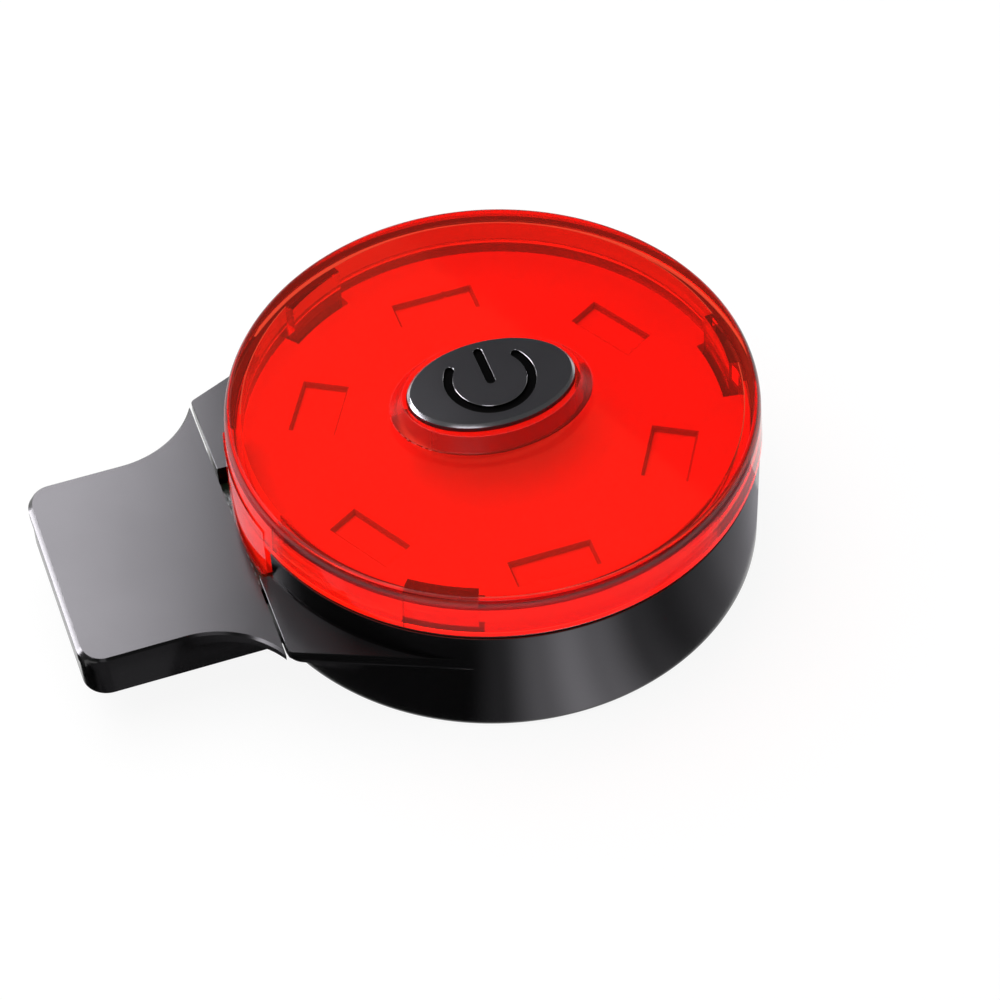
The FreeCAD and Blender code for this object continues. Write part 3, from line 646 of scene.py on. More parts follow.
# Board screws: two small blackened steel screws with round heads and a cross recess, driven through
# the board into the cup's posts.
black_steel = metal("Blackened steel", (0.06, 0.06, 0.062), (0.11, 0.11, 0.11), (0.3, 0.45))
screw_tip = 2.2
head_radius = 1.4
head_top = board_top + 0.8
thread_root = 0.58
thread_crest = 0.74
thread_pitch = 0.38
thread_turns = 10
screw_profile = [(0, screw_tip), (0.3, screw_tip)]
for step in range(thread_turns):
    thread_low = screw_tip + 0.15 + step * thread_pitch
    screw_profile += [(thread_root, thread_low), (thread_crest, thread_low + thread_pitch / 2)]
screw_profile += [(thread_root, board_top - 0.3), (thread_crest, board_top), (head_radius, board_top)]
screw_profile += bend((head_radius - 0.55, head_top - 0.55), 0.55, 0, 90, 6) + [(0, head_top)]
screw = turned_object("board_screw", screw_profile, 40)
cross_half = 0.18
cross_reach = 0.91
for outline in (box_outline(-cross_reach, cross_reach, -cross_half, cross_half),
                box_outline(-cross_half, cross_half, -cross_reach, cross_reach)):
    combine(screw, slab("cross", outline, [(0.08, head_top - 0.4), (0, head_top + 0.1)]), "DIFFERENCE")
screws = ring_of(move(screw, x=post_circle), 2, 60.0, black_steel)
screws.name = "screws"
polish(screws)
dress(screws, black_steel, "light", "black_screw", "board_screws")

# Lamps: six white moulded surface lamps, soldered to the board in a ring under the disc's pockets.
# Each has a cup in its top that is filled with clear resin.
lamp_circle = 14.6
lamp_half = (1.4, 1.75)
lamp_top = board_top + 0.7
window_half = (0.95, 1.3)
window_depth = 0.3
window_corner = 0.35
window_taper = 0.16
white_moulding = moulded("White lamp moulding", (0.72, 0.72, 0.69), (0.66, 0.66, 0.62), (0.4, 0.55),
                         scales=(500.0, 3500.0))
lamp_resin = moulded("Lamp resin", (0.75, 0.5, 0.12), (0.7, 0.44, 0.09), (0.08, 0.14), 0.0, (700.0, 3000.0),
                     (("Transmission Weight", 0.3), ("IOR", 1.5)))


def cut_corner_box(half, corner, x=0.0, y=0.0):
    """A rectangle's outline with its four corners cut off."""
    outline = []
    for side_x, side_y in ((1, -1), (1, 1), (-1, 1), (-1, -1)):
        along = (x + side_x * (half[0] - corner), y + side_y * half[1])
        across = (x + side_x * half[0], y + side_y * (half[1] - corner))
        outline += [along, across] if side_x * side_y < 0 else [across, along]
    return outline


lamp = slab("lamp", cut_corner_box(lamp_half, 0.08, lamp_circle),
            [(0, board_top), (0, lamp_top - 0.06), (0.06, lamp_top)])
window = cut_corner_box(window_half, window_corner, lamp_circle)
window_rings = [(window_taper, lamp_top - window_depth), (0, lamp_top), (0, lamp_top + past)]
combine(lamp, slab("window", window, window_rings), "DIFFERENCE")
lamps = ring_of(lamp, 6, 30.0, white_moulding)
lamps.name = "lamp_cups"
polish(lamps)
dress(lamps, white_moulding, "light", "white_component", "led_bodies")
resin_gap = 0.004
resin_rings = [(window_taper + resin_gap, lamp_top - window_depth + resin_gap),
               (resin_gap, lamp_top - resin_gap), (0.12, lamp_top - 0.02), (0.3, lamp_top - 0.04)]
resin = slab("resin", window, resin_rings)
resins = ring_of(resin, 6, 30.0, lamp_resin)
resins.name = "lamp_windows"
polish(resins)
dress(resins, lamp_resin, "light", "lamp_lens", "led_lenses")

# Small parts soldered on the board: a resistor beside each lamp, two capacitors, three chips and
# their tinned legs. Resistors and capacitors are fired ceramic with tinned ends.
band_edge = 0.03


def mark_ends(piece, along, limit):
    """Marks the faces at a part's two ends, so that its material can tin them."""
    tin = piece.data.attributes.new("tin", "FLOAT", "FACE")
    for face in piece.data.polygons:
        tin.data[face.index].value = 1.0 if abs(face.center[along]) > limit * mm else 0.0


def tin_ended(name, colour, worn):
    """Fired ceramic whose marked ends are tinned metal."""
    material = moulded(name, colour, worn, (0.45, 0.6), scales=(900.0, 5000.0))
    nodes = material.node_tree.nodes
    links = material.node_tree.links
    surface = nodes["Principled BSDF"]
    ends = nodes.new("ShaderNodeAttribute")
    ends.attribute_name = "tin"
    tinned = nodes.new("ShaderNodeMix")
    tinned.data_type = "RGBA"
    tinned.inputs["B"].default_value = (0.6, 0.6, 0.58, 1)
    links.new(ends.outputs["Fac"], tinned.inputs["Factor"])
    links.new(nodes["Finish"].outputs["Colour"], tinned.inputs["A"])
    links.new(tinned.outputs["Result"], surface.inputs["Base Color"])
    links.new(ends.outputs["Fac"], surface.inputs["Metallic"])
    return material


def banded(name, half, bands, along, height):
    """A block of three bands from end to end, the end ones a hair thicker."""
    solids = []
    for low, high, swell in bands:
        span = [(-half[0] - swell, half[0] + swell), (-half[1] - swell, half[1] + swell)]
        span[along] = (low, high)
        outline = box_outline(span[0][0], span[0][1], span[1][0], span[1][1])
        rings = [(band_edge, 0), (0, band_edge), (0, height - band_edge + swell), (band_edge, height + swell)]
        solids.append(slab(name, outline, rings))
    piece = gather(name, solids)
    mark_ends(piece, along, bands[1][0] - 0.001)
    return piece


resistor_circle = 10.9
resistor_black = tin_ended("Resistor black", (0.012, 0.012, 0.013), (0.02, 0.02, 0.02))
resistor_bands = ((-0.5, 0.5, -0.02), (0.5, 0.8, 0.0), (-0.8, -0.5, 0.0))
resistor = banded("resistor", (0.38, 0.78), resistor_bands, 1, 0.45)
move(resistor, x=resistor_circle, z=board_top)
resistors = ring_of(resistor, 6, 30.0, resistor_black)
resistors.name = "lamp_resistors"
dress(resistors, resistor_black, "light", "black_component", "resistors")

capacitor_x = -13.5
capacitor_tan = tin_ended("Capacitor tan", (0.28, 0.17, 0.09), (0.22, 0.13, 0.07))
capacitor_bands = ((-0.6, 0.6, -0.02), (0.6, 1.0, 0.0), (-1.0, -0.6, 0.0))
capacitor = banded("capacitor", (0.98, 0.6), capacitor_bands, 0, 1.18)
move(capacitor, x=capacitor_x, z=board_top)
capacitors = row_of(capacitor, 2, (0, 3.4, 0), capacitor_tan)
capacitors.name = "board_capacitors"
dress(capacitors, capacitor_tan, "light", "tan_ceramic", "capacitors")

chip_black = moulded("Chip epoxy", (0.014, 0.014, 0.015), (0.022, 0.022, 0.022), (0.5, 0.65), 0.004,
                     (600.0, 6000.0))
for node in ("control_chip", "charge_chip", "drive_transistor"):
    coat(node, chip_black)

tinned = metal("Tinned steel", (0.62, 0.62, 0.6), (0.5, 0.5, 0.48), (0.22, 0.38))
leg_half = 0.2
leg_thick = 0.16


def leg(name, start_x, reach_x, shoulder):
    """A leg that leaves the chip's side level, steps down and lies flat on the board."""
    side = [(start_x, shoulder), (start_x + reach_x * 0.3, shoulder), (start_x + reach_x * 0.5, leg_thick),
            (start_x + reach_x, leg_thick), (start_x + reach_x, 0), (start_x + reach_x * 0.42, 0),
            (start_x + reach_x * 0.22, shoulder - leg_thick), (start_x, shoulder - leg_thick)]
    size = len(side)
    points = [(x, y, board_top + z) for y in (-leg_half, leg_half) for x, z in side]
    faces = [list(range(size)), [size + index for index in reversed(range(size))]]
    faces += [[index, size + index, size + (index + 1) % size, (index + 1) % size] for index in range(size)]
    return filled_object(name, points, faces)


control_half = 1.95
control_circle = 8.2
control_turn = 30.0
leg_rows = []
for side in (0.0, 180.0):
    row = row_of(leg("leg", control_half - 0.1, 0.95, 0.8), 4, (0, 1.27, 0), tinned)
    row.data.transform(Matrix.Rotation(math.radians(-90.0 + side), 4, "Z"))
    leg_rows.append(move(row, y=-control_circle, turn=control_turn))
for chip_x, chip_half, left, right in ((-7.9, 0.8, 3, 2), (7.75, 0.65, 2, 1)):
    for count, side in ((left, 180.0), (right, 0.0)):
        pitch = 0.95 if count == 3 else 1.9
        row = row_of(leg("leg", chip_half - 0.1, 0.7, 0.55), count, (0, pitch, 0), tinned)
        row.data.transform(Matrix.Rotation(math.radians(side), 4, "Z"))
        leg_rows.append(move(row, x=chip_x))
legs = gather("tinned_legs", leg_rows)
polish(legs, 20.0)
dress(legs, tinned, "light", "tinned_steel", "chip_legs")

# Push switch: a square moulded body with a pressed and tinned steel cover, and a black plunger that
# the button's stem works through the boot. It is soldered to the middle of the board.
coat("switch_body", chip_black)
coat("switch_cover", tinned)
coat("switch_plunger", chip_black)

# Boot: a silicone ring on the board with a thin roof and a nipple. The stem presses the nipple, the
# roof flexes, and water stays out of the switch.
black_silicone = moulded("Black silicone", (0.01, 0.01, 0.01), (0.018, 0.018, 0.018), (0.5, 0.65), 0.003)
boot_top = 11.0
boot_shoulder = 9.5
boot_profile = [(0, boot_top)] + bend((2.05, boot_top - 0.25), 0.25, 90, 0, 4)
boot_profile += bend((2.6, boot_shoulder + 0.3), 0.3, 180, 270, 4)
boot_profile += bend((4.0, boot_shoulder - 0.4), 0.4, 90, 0, 5)
boot_profile += [(4.4, board_top), (3.4, board_top), (3.4, boot_shoulder - 0.8), (3.1, boot_shoulder - 0.5),
                 (1.4, boot_shoulder - 0.5), (1.4, 9.55), (0, 9.55)]
boot = turned_object("button_boot", boot_profile, 72)
polish(boot)
dress(boot, black_silicone, "light", "black_silicone", "button_seal")
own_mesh(boot)

# Reflector disc: bright red satin plastic under the lens, with six shallow pockets over the lamps and
# a light well below each, three notches for the lens's lugs and an opening for the boot.
disc_low = ledge_height
disc_high = 10.75
disc_radius = 21.0
disc_edge = 0.12
pocket_halves = ((1.35, 2.95), (1.225, 3.4), (1.825, 2.65))
pocket_shifts = (0.35, 0.45, 0.05)
pocket_depth = 0.5
pocket_edge = 0.12
well_half = (1.9, 2.25)
well_wall = 0.6
well_low = board_top + 0.25
notch_radius = 19.2
notch_side_room = 0.65
notch_width = math.degrees((lug_across + notch_side_room) / lug_circle)
stem_opening = 2.5
red_reflector = moulded("Red reflector plastic", (0.9, 0.022, 0.009), (0.87, 0.018, 0.008), (0.35, 0.45))


def centred_box(middle, half_x, half_y):
    """A rectangle's outline with its middle on the plug's axis."""
    return box_outline(middle - half_x, middle + half_x, -half_y, half_y)


disc_profile = [(0, disc_low), (disc_radius - 0.05, disc_low), (disc_radius, disc_low + 0.05)]
disc_profile += bend((disc_radius - disc_edge, disc_high - disc_edge), disc_edge, 0, 90, 4) + [(0, disc_high)]
disc = turned_object("reflector_disc_plate", disc_profile, 216)
well_outline = centred_box(lamp_circle, *well_half)
well = slab("well", well_outline, [(-well_wall, well_low), (-well_wall, disc_low + 0.1)])
combine(well, slab("bore", well_outline, [(0, well_low - past), (0.15, disc_low), (0.15, disc_low + past)]),
        "DIFFERENCE")
combine(disc, ring_of(well, 6, 30.0), "UNION")
pocket_low = disc_high - pocket_depth
for kind, (half_width, half_length) in enumerate(pocket_halves):
    middle = lamp_circle + pocket_shifts[kind]
    outline = centred_box(middle, half_width, half_length)
    pocket = slab("pocket", outline, [(pocket_edge, pocket_low), (0, pocket_low + pocket_edge),
                                      (0, disc_high - pocket_edge), (-pocket_edge, disc_high + 0.001),
                                      (-pocket_edge, disc_high + past)])
    combine(disc, ring_of(pocket, 2, 30.0 + 60.0 * kind), "DIFFERENCE")
notch = turned_object("notch", [(notch_radius, disc_low - past), (disc_radius + past, disc_low - past),
                                (disc_radius + past, disc_high + past), (notch_radius, disc_high + past)],
                      8, notch_width)
combine(disc, ring_of(notch, 3), "DIFFERENCE")
opening = [(0, disc_low - past), (stem_opening, disc_low - past),
           (stem_opening, disc_high + past), (0, disc_high + past)]
combine(disc, turned_object("opening", opening, 64), "DIFFERENCE")
polish(disc)

# Painted shade: the pockets' walls and their edge chamfers are coloured a darker red, where shade would fall
# in the recesses.
pocket_shade_faces = disc.data.attributes.new("painted pocket shade", "FLOAT", "FACE")
for face in disc.data.polygons:
    x, y, z = face.center / mm
    in_pocket = pocket_low < z < disc_high and 12.0 < math.hypot(x, y) < 17.5 and face.normal.z < 0.9
    pocket_shade_faces.data[face.index].value = 1.0 if in_pocket else 0.0
# The disc's material mixes that darker red into the marked faces: painted shade, not the plastic's own
# colour.
nodes = red_reflector.node_tree.nodes
links = red_reflector.node_tree.links
pocket_shade_attribute = nodes.new("ShaderNodeAttribute")
pocket_shade_attribute.attribute_name = "painted pocket shade"
pocket_shade_mix = nodes.new("ShaderNodeMix")
pocket_shade_mix.data_type = "RGBA"
pocket_shade_mix.inputs["B"].default_value = (0.4, 0.006, 0.003, 1)
links.new(pocket_shade_attribute.outputs["Fac"], pocket_shade_mix.inputs["Factor"])
links.new(nodes["Finish"].outputs["Colour"], pocket_shade_mix.inputs["A"])
links.new(pocket_shade_mix.outputs["Result"], nodes["Principled BSDF"].inputs["Base Color"])
dress(disc, red_reflector, "light", "red_reflector", "reflector_disc")

# Gasket: a strip of black silicone, cut open at the tab, that lies on the cup's rim under the lens's
# foot and shows as a thin line between them.
coat("rim_gasket", black_silicone)

# Lens: clear red plastic, moulded with its skirt, the tab over the plug, three snap lugs and the
# raised oval collar round the button. It is polished outside, with a satin edge and collar.
lens_low, lens_top = reach("lens")
lens_foot_radius = 22.0
lens_top_radius = 21.8
lens_round = (0.6, 1.1)
lens_foot = 11.5
foot_relief = lens_foot + 0.12
lens_high = 15.65
plate_low = 14.35
spigot_low = 10.8
spigot_radius = 21.0
skirt_radius = 20.5
collar_high = lens_top.z
collar_foot = (8.38, 6.16)
collar_top = (7.46, 5.35)
button_half = (6.98, 4.64)
button_gap = 0.12
tab_half = 5.7
tab_low = lens_low.z
tab_high = 13.35
tab_corner = 2.0
lug_width = math.degrees(lug_across / lug_circle)
lug_root = 0.2
lug_outer = 20.4
lug_low = 7.82
hook_outer = 20.95
hook_high = 8.92
hook_low = 8.27


def ellipse(half_axes, grow=0.0, steps=160):
    """An oval outline, made larger or smaller all round by an amount."""
    outline = []
    for step in range(steps):
        turn = 2 * math.pi * step / steps
        outline.append(((half_axes[0] + grow) * math.cos(turn), (half_axes[1] + grow) * math.sin(turn)))
    return outline


lens_profile = [(0, lens_high)]
for across, up in reversed(bend((0, 0), 1.0, 0, 90, 10)):
    edge_radius = lens_top_radius - lens_round[0] * (1 - across)
    lens_profile.append((edge_radius, lens_high - lens_round[1] * (1 - up)))
lens_profile += [(lens_foot_radius - 0.02, foot_relief + 0.15), (lens_foot_radius - 0.05, foot_relief + 0.05),
                 (lens_foot_radius - 0.15, foot_relief)]
lens_profile += [(spigot_radius, foot_relief), (spigot_radius, spigot_low), (skirt_radius, spigot_low)]
lens_profile += [(skirt_radius, plate_low - 0.1), (skirt_radius - 0.1, plate_low), (0, plate_low)]
lens = turned_object("lens_moulding", lens_profile, turn_steps)
collar_layers = [(ellipse(collar_foot), lens_high - 0.5), (ellipse(collar_foot, 0.25), lens_high - 0.1)]
for lift, swell in ((0.0, 0.14), (0.05, 0.05), (0.14, -0.03)):
    collar_layers.append((ellipse(collar_foot, swell), lens_high + lift))
for drop, swell in ((0.08, 0.03), (0.02, -0.02), (0.0, -0.09)):
    collar_layers.append((ellipse(collar_top, swell), collar_high - drop))
combine(lens, stacked("collar", collar_layers), "UNION")
lug_profile = [(lug_circle, plate_low + lug_root), (skirt_radius + lug_root, plate_low + lug_root),
               (skirt_radius + lug_root, spigot_low), (lug_outer, spigot_low), (lug_outer, hook_high),
               (hook_outer, hook_high), (hook_outer, hook_low), (lug_outer, lug_low), (lug_circle, lug_low)]
combine(lens, ring_of(turned_object("lugs", lug_profile, 12, lug_width), 3), "UNION")
tab_side = bend((tab_half - tab_corner, tab_low + tab_corner), tab_corner, -90, 0, 10)
tab_front = [(-y, z) for y, z in reversed(tab_side)] + tab_side
tab_front += [(tab_half, tab_high), (-tab_half, tab_high)]
size = len(tab_front)
tab_points = [(-23.0, y, z) for y, z in tab_front] + [(-15.0, y, z) for y, z in tab_front]
tab_faces = [list(range(size)), [size + index for index in reversed(range(size))]]
tab_faces += [[index, size + index, size + (index + 1) % size, (index + 1) % size] for index in range(size)]
tab = filled_object("tab", tab_points, tab_faces)
band_outer = lens_foot_radius - 0.01
band_profile = [(lip_radius, 5.0), (band_outer, 5.0), (band_outer, 14.0), (lip_radius, 14.0)]
combine(tab, turned_object("band", band_profile, turn_steps), "INTERSECT")
combine(lens, tab, "UNION")
button_hole = ellipse(button_half, button_gap)
hole_layers = [(button_hole, plate_low - past), (button_hole, collar_high + past)]
combine(lens, stacked("button_hole", hole_layers), "DIFFERENCE")
polish(lens)

# One moulding with four finishes: clear and polished, matt inside the tab, satin on the collar and the upper
# edge, and a deeper red painted on the steep part of that edge as painted shade.
clear_red = moulded("Clear red plastic", (0.86, 0.07, 0.03), (0.85, 0.066, 0.028), (0.015, 0.04),
                    grain_height=0.0, settings=(("Transmission Weight", 0.9), ("IOR", 1.5)))
matt_red = moulded("Matt red plastic", (0.95, 0.09, 0.06), (0.92, 0.08, 0.05), (0.6, 0.7))
satin_red = moulded("Satin red plastic", (0.8, 0.04, 0.02), (0.78, 0.036, 0.018), (0.22, 0.3),
                    grain_height=0.0,
                    settings=(("Transmission Weight", 0.9), ("IOR", 1.5), ("Specular IOR Level", 0.12)))
# Painted shade: a near-black red for the steep part of the lens's upper edge, standing in for the darkness of
# light seen along the wall.
edge_shade_red = moulded("Edge red plastic with painted shade", (0.13, 0.004, 0.003), (0.12, 0.004, 0.003), (0.2, 0.26),
                   grain_height=0.0,
                   settings=(("Transmission Weight", 0.9), ("IOR", 1.5), ("Specular IOR Level", 0.06)))
for material in (clear_red, satin_red, edge_shade_red):
    nodes = material.node_tree.nodes
    links = material.node_tree.links
    seen = nodes.new("ShaderNodeLightPath")
    passing = nodes.new("ShaderNodeBsdfTransparent")
    passing.inputs["Color"].default_value = (0.98, 0.2, 0.15, 1)
    choice = nodes.new("ShaderNodeMixShader")
    links.new(seen.outputs["Is Shadow Ray"], choice.inputs[0])
    links.new(nodes["Principled BSDF"].outputs[0], choice.inputs[1])
    links.new(passing.outputs[0], choice.inputs[2])
    links.new(choice.outputs[0], nodes["Material Output"].inputs["Surface"])
dress(lens, clear_red, "light", "red_lens", "lens")
for material in (matt_red, satin_red, edge_shade_red):
    lens.data.materials.append(material)
for face in lens.data.polygons:
    x, y, z = face.center / mm
    out = Vector((x, y, 0)).normalized()
    facing_in = face.normal.dot(out) < -0.5 and z < plate_low
    if facing_in and x < 0 and abs(y) < tab_half and skirt_radius - 0.1 < math.hypot(x, y) < lip_radius + 0.1:
        face.material_index = 1
    in_hole = math.hypot(x / collar_top[0], y / collar_top[1]) < 1 and abs(face.normal.z) < 0.5
    if in_hole or z > lens_high + 0.02 and face.normal.z < 0.97:
        face.material_index = 2
    # The steep faces of the upper edge take the painted shade red; the shallower ones are satin.
    on_edge = math.hypot(x, y) > lens_top_radius - lens_round[0] and z > lens_high - lens_round[1]
    if on_edge and 0.08 < face.normal.z < 0.72:
        face.material_index = 3
    elif on_edge and 0.7 < face.normal.z < 0.995:
        face.material_index = 2

# Button: an oval cup of dark grey plastic with a bright cut edge, a stem down to the boot and two keepers
# under the lens. The power mark is engraved, and its groove is coloured a near black that hardly reflects.
button_top = reach("button_cap")[1]
button_bevel = 0.22
button_wall = 1.0
button_roof = 1.2
mark_radius = 3.4
mark_half = 0.375
mark_depth = 0.25
mark_shift = 0.3
mark_opening = 56.0
mark_edge = 0.035
bar_high = 3.45
bar_low = 0.2
keeper_top = 14.27
keeper_half = 1.2
keeper_drop = 0.7
rib_half = 0.4
stem_radius = 1.8
stem_low = boot_top + 0.05
button_high = button_top.z
button_skirt = 3.8
button_foot = button_high - button_skirt

button = stacked("button_oval", [
    (ellipse(button_half, -0.05), button_foot),
    (ellipse(button_half), button_foot + 0.05),
    (ellipse(button_half), button_high - button_bevel - 0.02),
    (ellipse(button_half, -0.02), button_high - button_bevel),
    (ellipse(button_half, -button_bevel), button_high - 0.02),
    (ellipse(button_half, -button_bevel - 0.03), button_high),
])
hollow = ellipse(button_half, -button_wall)
hollow_layers = [(hollow, button_foot - past), (hollow, button_high - button_roof)]
combine(button, stacked("hollow", hollow_layers), "DIFFERENCE")
inner_x = button_half[0] - button_wall / 2
roof_middle = button_high - button_roof / 2
keeper_rings = [(0, keeper_top - keeper_drop), (0, keeper_top)]
for side in (-1, 1):
    ends = sorted((side * inner_x, side * (button_half[0] + 0.6)))
    keeper = slab("keeper", box_outline(ends[0], ends[1], -keeper_half, keeper_half), keeper_rings)
    combine(button, keeper, "UNION")
rib = slab("rib", box_outline(-inner_x, inner_x, -rib_half, rib_half),
           [(0, button_foot + keeper_drop), (0, roof_middle)])
combine(button, rib, "UNION")
stem_profile = [(0, stem_low), (stem_radius - 0.15, stem_low), (stem_radius, stem_low + 0.15),
                (stem_radius, roof_middle), (0, roof_middle)]
combine(button, turned_object("stem", stem_profile, 48), "UNION")

arc_first = 90 + mark_opening
arc_last = 450 - mark_opening


def on_mark(angle):
    """The middle of the mark's stroke at an angle."""
    return bend((0, mark_shift), mark_radius, angle, angle, 1)[0]


arc_outline = bend((0, mark_shift), mark_radius + mark_half, arc_first, arc_last, 72)
arc_outline += bend(on_mark(arc_last), mark_half, arc_last, arc_last + 180, 12)[1:-1]
arc_outline += bend((0, mark_shift), mark_radius - mark_half, arc_last, arc_first, 72)
arc_outline += bend(on_mark(arc_first), mark_half, arc_first + 180, arc_first + 360, 12)[1:-1]
bar_outline = bend((0, mark_shift + bar_high - mark_half), mark_half, 0, 180, 14)
bar_outline += bend((0, mark_shift - bar_low), mark_half, 180, 360, 14)
groove = [(0.05, button_high - mark_depth), (0, button_high - mark_depth + 0.05),
          (0, button_high - mark_edge), (-mark_edge, button_high + 0.0005), (-mark_edge, button_high + past)]
combine(button, slab("arc", arc_outline, groove), "DIFFERENCE")
combine(button, slab("bar", bar_outline, groove), "DIFFERENCE")
polish(button, 20.0)
rim_faces = button.data.attributes.new("cut edge", "FLOAT", "FACE")
mark_faces = []
for face in button.data.polygons:
    x, y, z = face.center / mm
    out = math.hypot(x / button_half[0], y / button_half[1])
    sloping = 0.25 < face.normal.z < 0.95
    rim_faces.data[face.index].value = 1.0 if z > button_high - button_bevel - 0.05 and sloping else 0.0
    in_groove = button_high - mark_depth - 0.05 < z < button_high - 0.02 and out < 0.85
    if in_groove and not (sloping and z > button_high - 2 * mark_edge):
        mark_faces.append(face.index)

button_grey = moulded("Button grey plastic", (0.0255, 0.025, 0.0285), (0.0315, 0.031, 0.0345), (0.2, 0.26),
                      grain_height=0.0006)
# The mark's groove: a near-black colour with almost no reflection.
mark_black = moulded("Near black of the mark groove", (0.0006, 0.0006, 0.0006), (0.001, 0.001, 0.001),
                     (0.7, 0.8), settings=(("Specular IOR Level", 0.02),))
nodes = button_grey.node_tree.nodes
links = button_grey.node_tree.links
surface = nodes["Principled BSDF"]
cut_edge = nodes.new("ShaderNodeAttribute")
cut_edge.attribute_name = "cut edge"
silver = nodes.new("ShaderNodeMix")
silver.data_type = "RGBA"
silver.inputs["B"].default_value = (0.7, 0.7, 0.72, 1)
links.new(nodes["Finish"].outputs["Colour"], silver.inputs["A"])
links.new(cut_edge.outputs["Fac"], silver.inputs["Factor"])
links.new(silver.outputs["Result"], surface.inputs["Base Color"])
links.new(cut_edge.outputs["Fac"], surface.inputs["Metallic"])
dress(button, button_grey, "button", "black_button", "button_cap")
button.data.materials.append(mark_black)
for index in mark_faces:
    button.data.polygons[index].material_index = 1

# Cap: two black shells welded together, a flared plate over a block, with a silicone sleeve inside
# that grips the plug. It slides straight off to charge the light. The flare thins towards its tips.
cap_mouth = reach("cap_top")[1].x
cap_end = reach("cap_top")[0].x
cap_half = 9.8
cap_corner = 2.1
end_chamfer = 0.4
side_chamfer = 0.2
wing_cut = ((-29.0, neck_low - 0.02), (-21.0, neck_low - 0.02), (-21.0, 7.68))
flare_radius = 7.9
flare_rise = neck_half - 0.12 - cap_half
flare_run = math.sqrt(flare_radius ** 2 - (flare_radius - flare_rise) ** 2)
flare_turn = math.degrees(math.asin(flare_run / flare_radius))
cavity_half = 6.7
cavity_end = -34.95
cavity_low = 4.45
cavity_high = 7.39
base_inset = 0.12

upper_side = [(cap_mouth + past, cap_half + flare_rise + past * math.tan(math.radians(flare_turn)))]
upper_side += bend((cap_mouth - flare_run, cap_half + flare_radius), flare_radius, -90 + flare_turn, -90, 24)
upper_side += bend((cap_end + cap_corner, cap_half - cap_corner), cap_corner, 90, 180, 16)
cap_outline = upper_side + [(x, -y) for x, y in reversed(upper_side)]


def deepen_end(outline, amount):
    """Moves only the end of an outline inward, so that the bevel is broader there than at the sides."""
    return [(x + amount * min(1.0, max(0.0, 1.0 - (x - cap_end) / cap_corner)), y) for x, y in outline]


end_extra = end_chamfer - side_chamfer
layers = [(inward(cap_outline, amount), height) for amount, height in (
    (0.04, neck_low), (0, neck_low + 0.04), (0, neck_high - end_chamfer))]
layers.append((deepen_end(cap_outline, end_extra), neck_high - side_chamfer))
layers.append((deepen_end(inward(cap_outline, side_chamfer), end_extra), neck_high))
cap_plate = stacked("cap_top_plate", layers)
for side in (-1, 1):
    wedge = [(x, side * y, z) for y in (cap_half - 0.05, 16.0) for x, z in wing_cut]
    wedge_faces = [(0, 1, 2), (5, 4, 3), (0, 3, 4, 1), (1, 4, 5, 2), (2, 5, 3, 0)]
    combine(cap_plate, filled_object("wing_cut", wedge, wedge_faces), "DIFFERENCE")
mouth = slab("mouth", box_outline(cap_mouth, 0, -lip_radius, lip_radius), [(0, 0), (0, rim_height)])
combine(cap_plate, mouth, "DIFFERENCE")
cavity = box_outline(cavity_end, cap_mouth + past, -cavity_half, cavity_half)
combine(cap_plate, slab("cavity", cavity, [(0, neck_low - past), (0, cavity_high)]), "DIFFERENCE")
polish(cap_plate)
dress(cap_plate, black_gloss, "cap", "black_casing", "cap_top")

base_corner = (cap_end + base_inset + cap_corner, cap_half - base_inset - cap_corner)
base_side = bend(base_corner, cap_corner, 90, 180, 16)
base_outline = [(cap_mouth, base_inset - cap_half), (cap_mouth, cap_half - base_inset)] + base_side
base_outline += [(x, -y) for x, y in reversed(base_side)]
base_rings = [(0.14, boss_low), (0.04, boss_low + 0.04), (0, boss_low + 0.14),
              (0, neck_low - 0.05), (0.05, neck_low)]
cap_block = slab("cap_base_block", base_outline, base_rings)
combine(cap_block, slab("cavity", cavity, [(0, cavity_low), (0, neck_low + past)]), "DIFFERENCE")
polish(cap_block)
dress(cap_block, black_gloss, "cap", "black_casing", "cap_base")
coat("cap_liner", black_silicone)

# The photograph's view: a long lens, about 49 degrees above the table and a little left of the
# light's own axis, with the camera rolled slightly.
view_azimuth = math.radians(-16.9)
view_height = math.radians(49.346)
view_roll = math.radians(-2.56)
view_distance = 307.7 * mm

view_back = Vector((
    math.sin(view_azimuth) * math.cos(view_height),
    -math.cos(view_azimuth) * math.cos(view_height),
    math.sin(view_height),
))
level_right = Vector((math.cos(view_azimuth), math.sin(view_azimuth), 0))
level_up = view_back.cross(level_right)
view_right = math.cos(view_roll) * level_right + math.sin(view_roll) * level_up
view_up = math.cos(view_roll) * level_up - math.sin(view_roll) * level_right
camera_data = bpy.data.cameras.new("Photo view")
camera_data.lens = 131.54
camera_data.sensor_width = 36.0
camera_data.shift_x = 0.0027
camera_data.shift_y = 0.0206
camera_data.clip_start = 0.01
camera = bpy.data.objects.new("Photo view", camera_data)
camera.matrix_world = Matrix((view_right, view_up, view_back)).transposed().to_4x4()
camera.matrix_world.translation = view_back * view_distance
bpy.context.scene.collection.objects.link(camera)
bpy.context.scene.camera = camera
bpy.context.scene.view_settings.view_transform = "Standard"

# The studio: a broad softbox lights everything, and a key and a front panel draw highlights. The key
# spares the lens. The flare and end panels light only the cap's plate, the button panel only the
# button, and the side softbox only the lens. The table and the wall behind are white.
cool_white = (0.96, 0.93, 1.0)


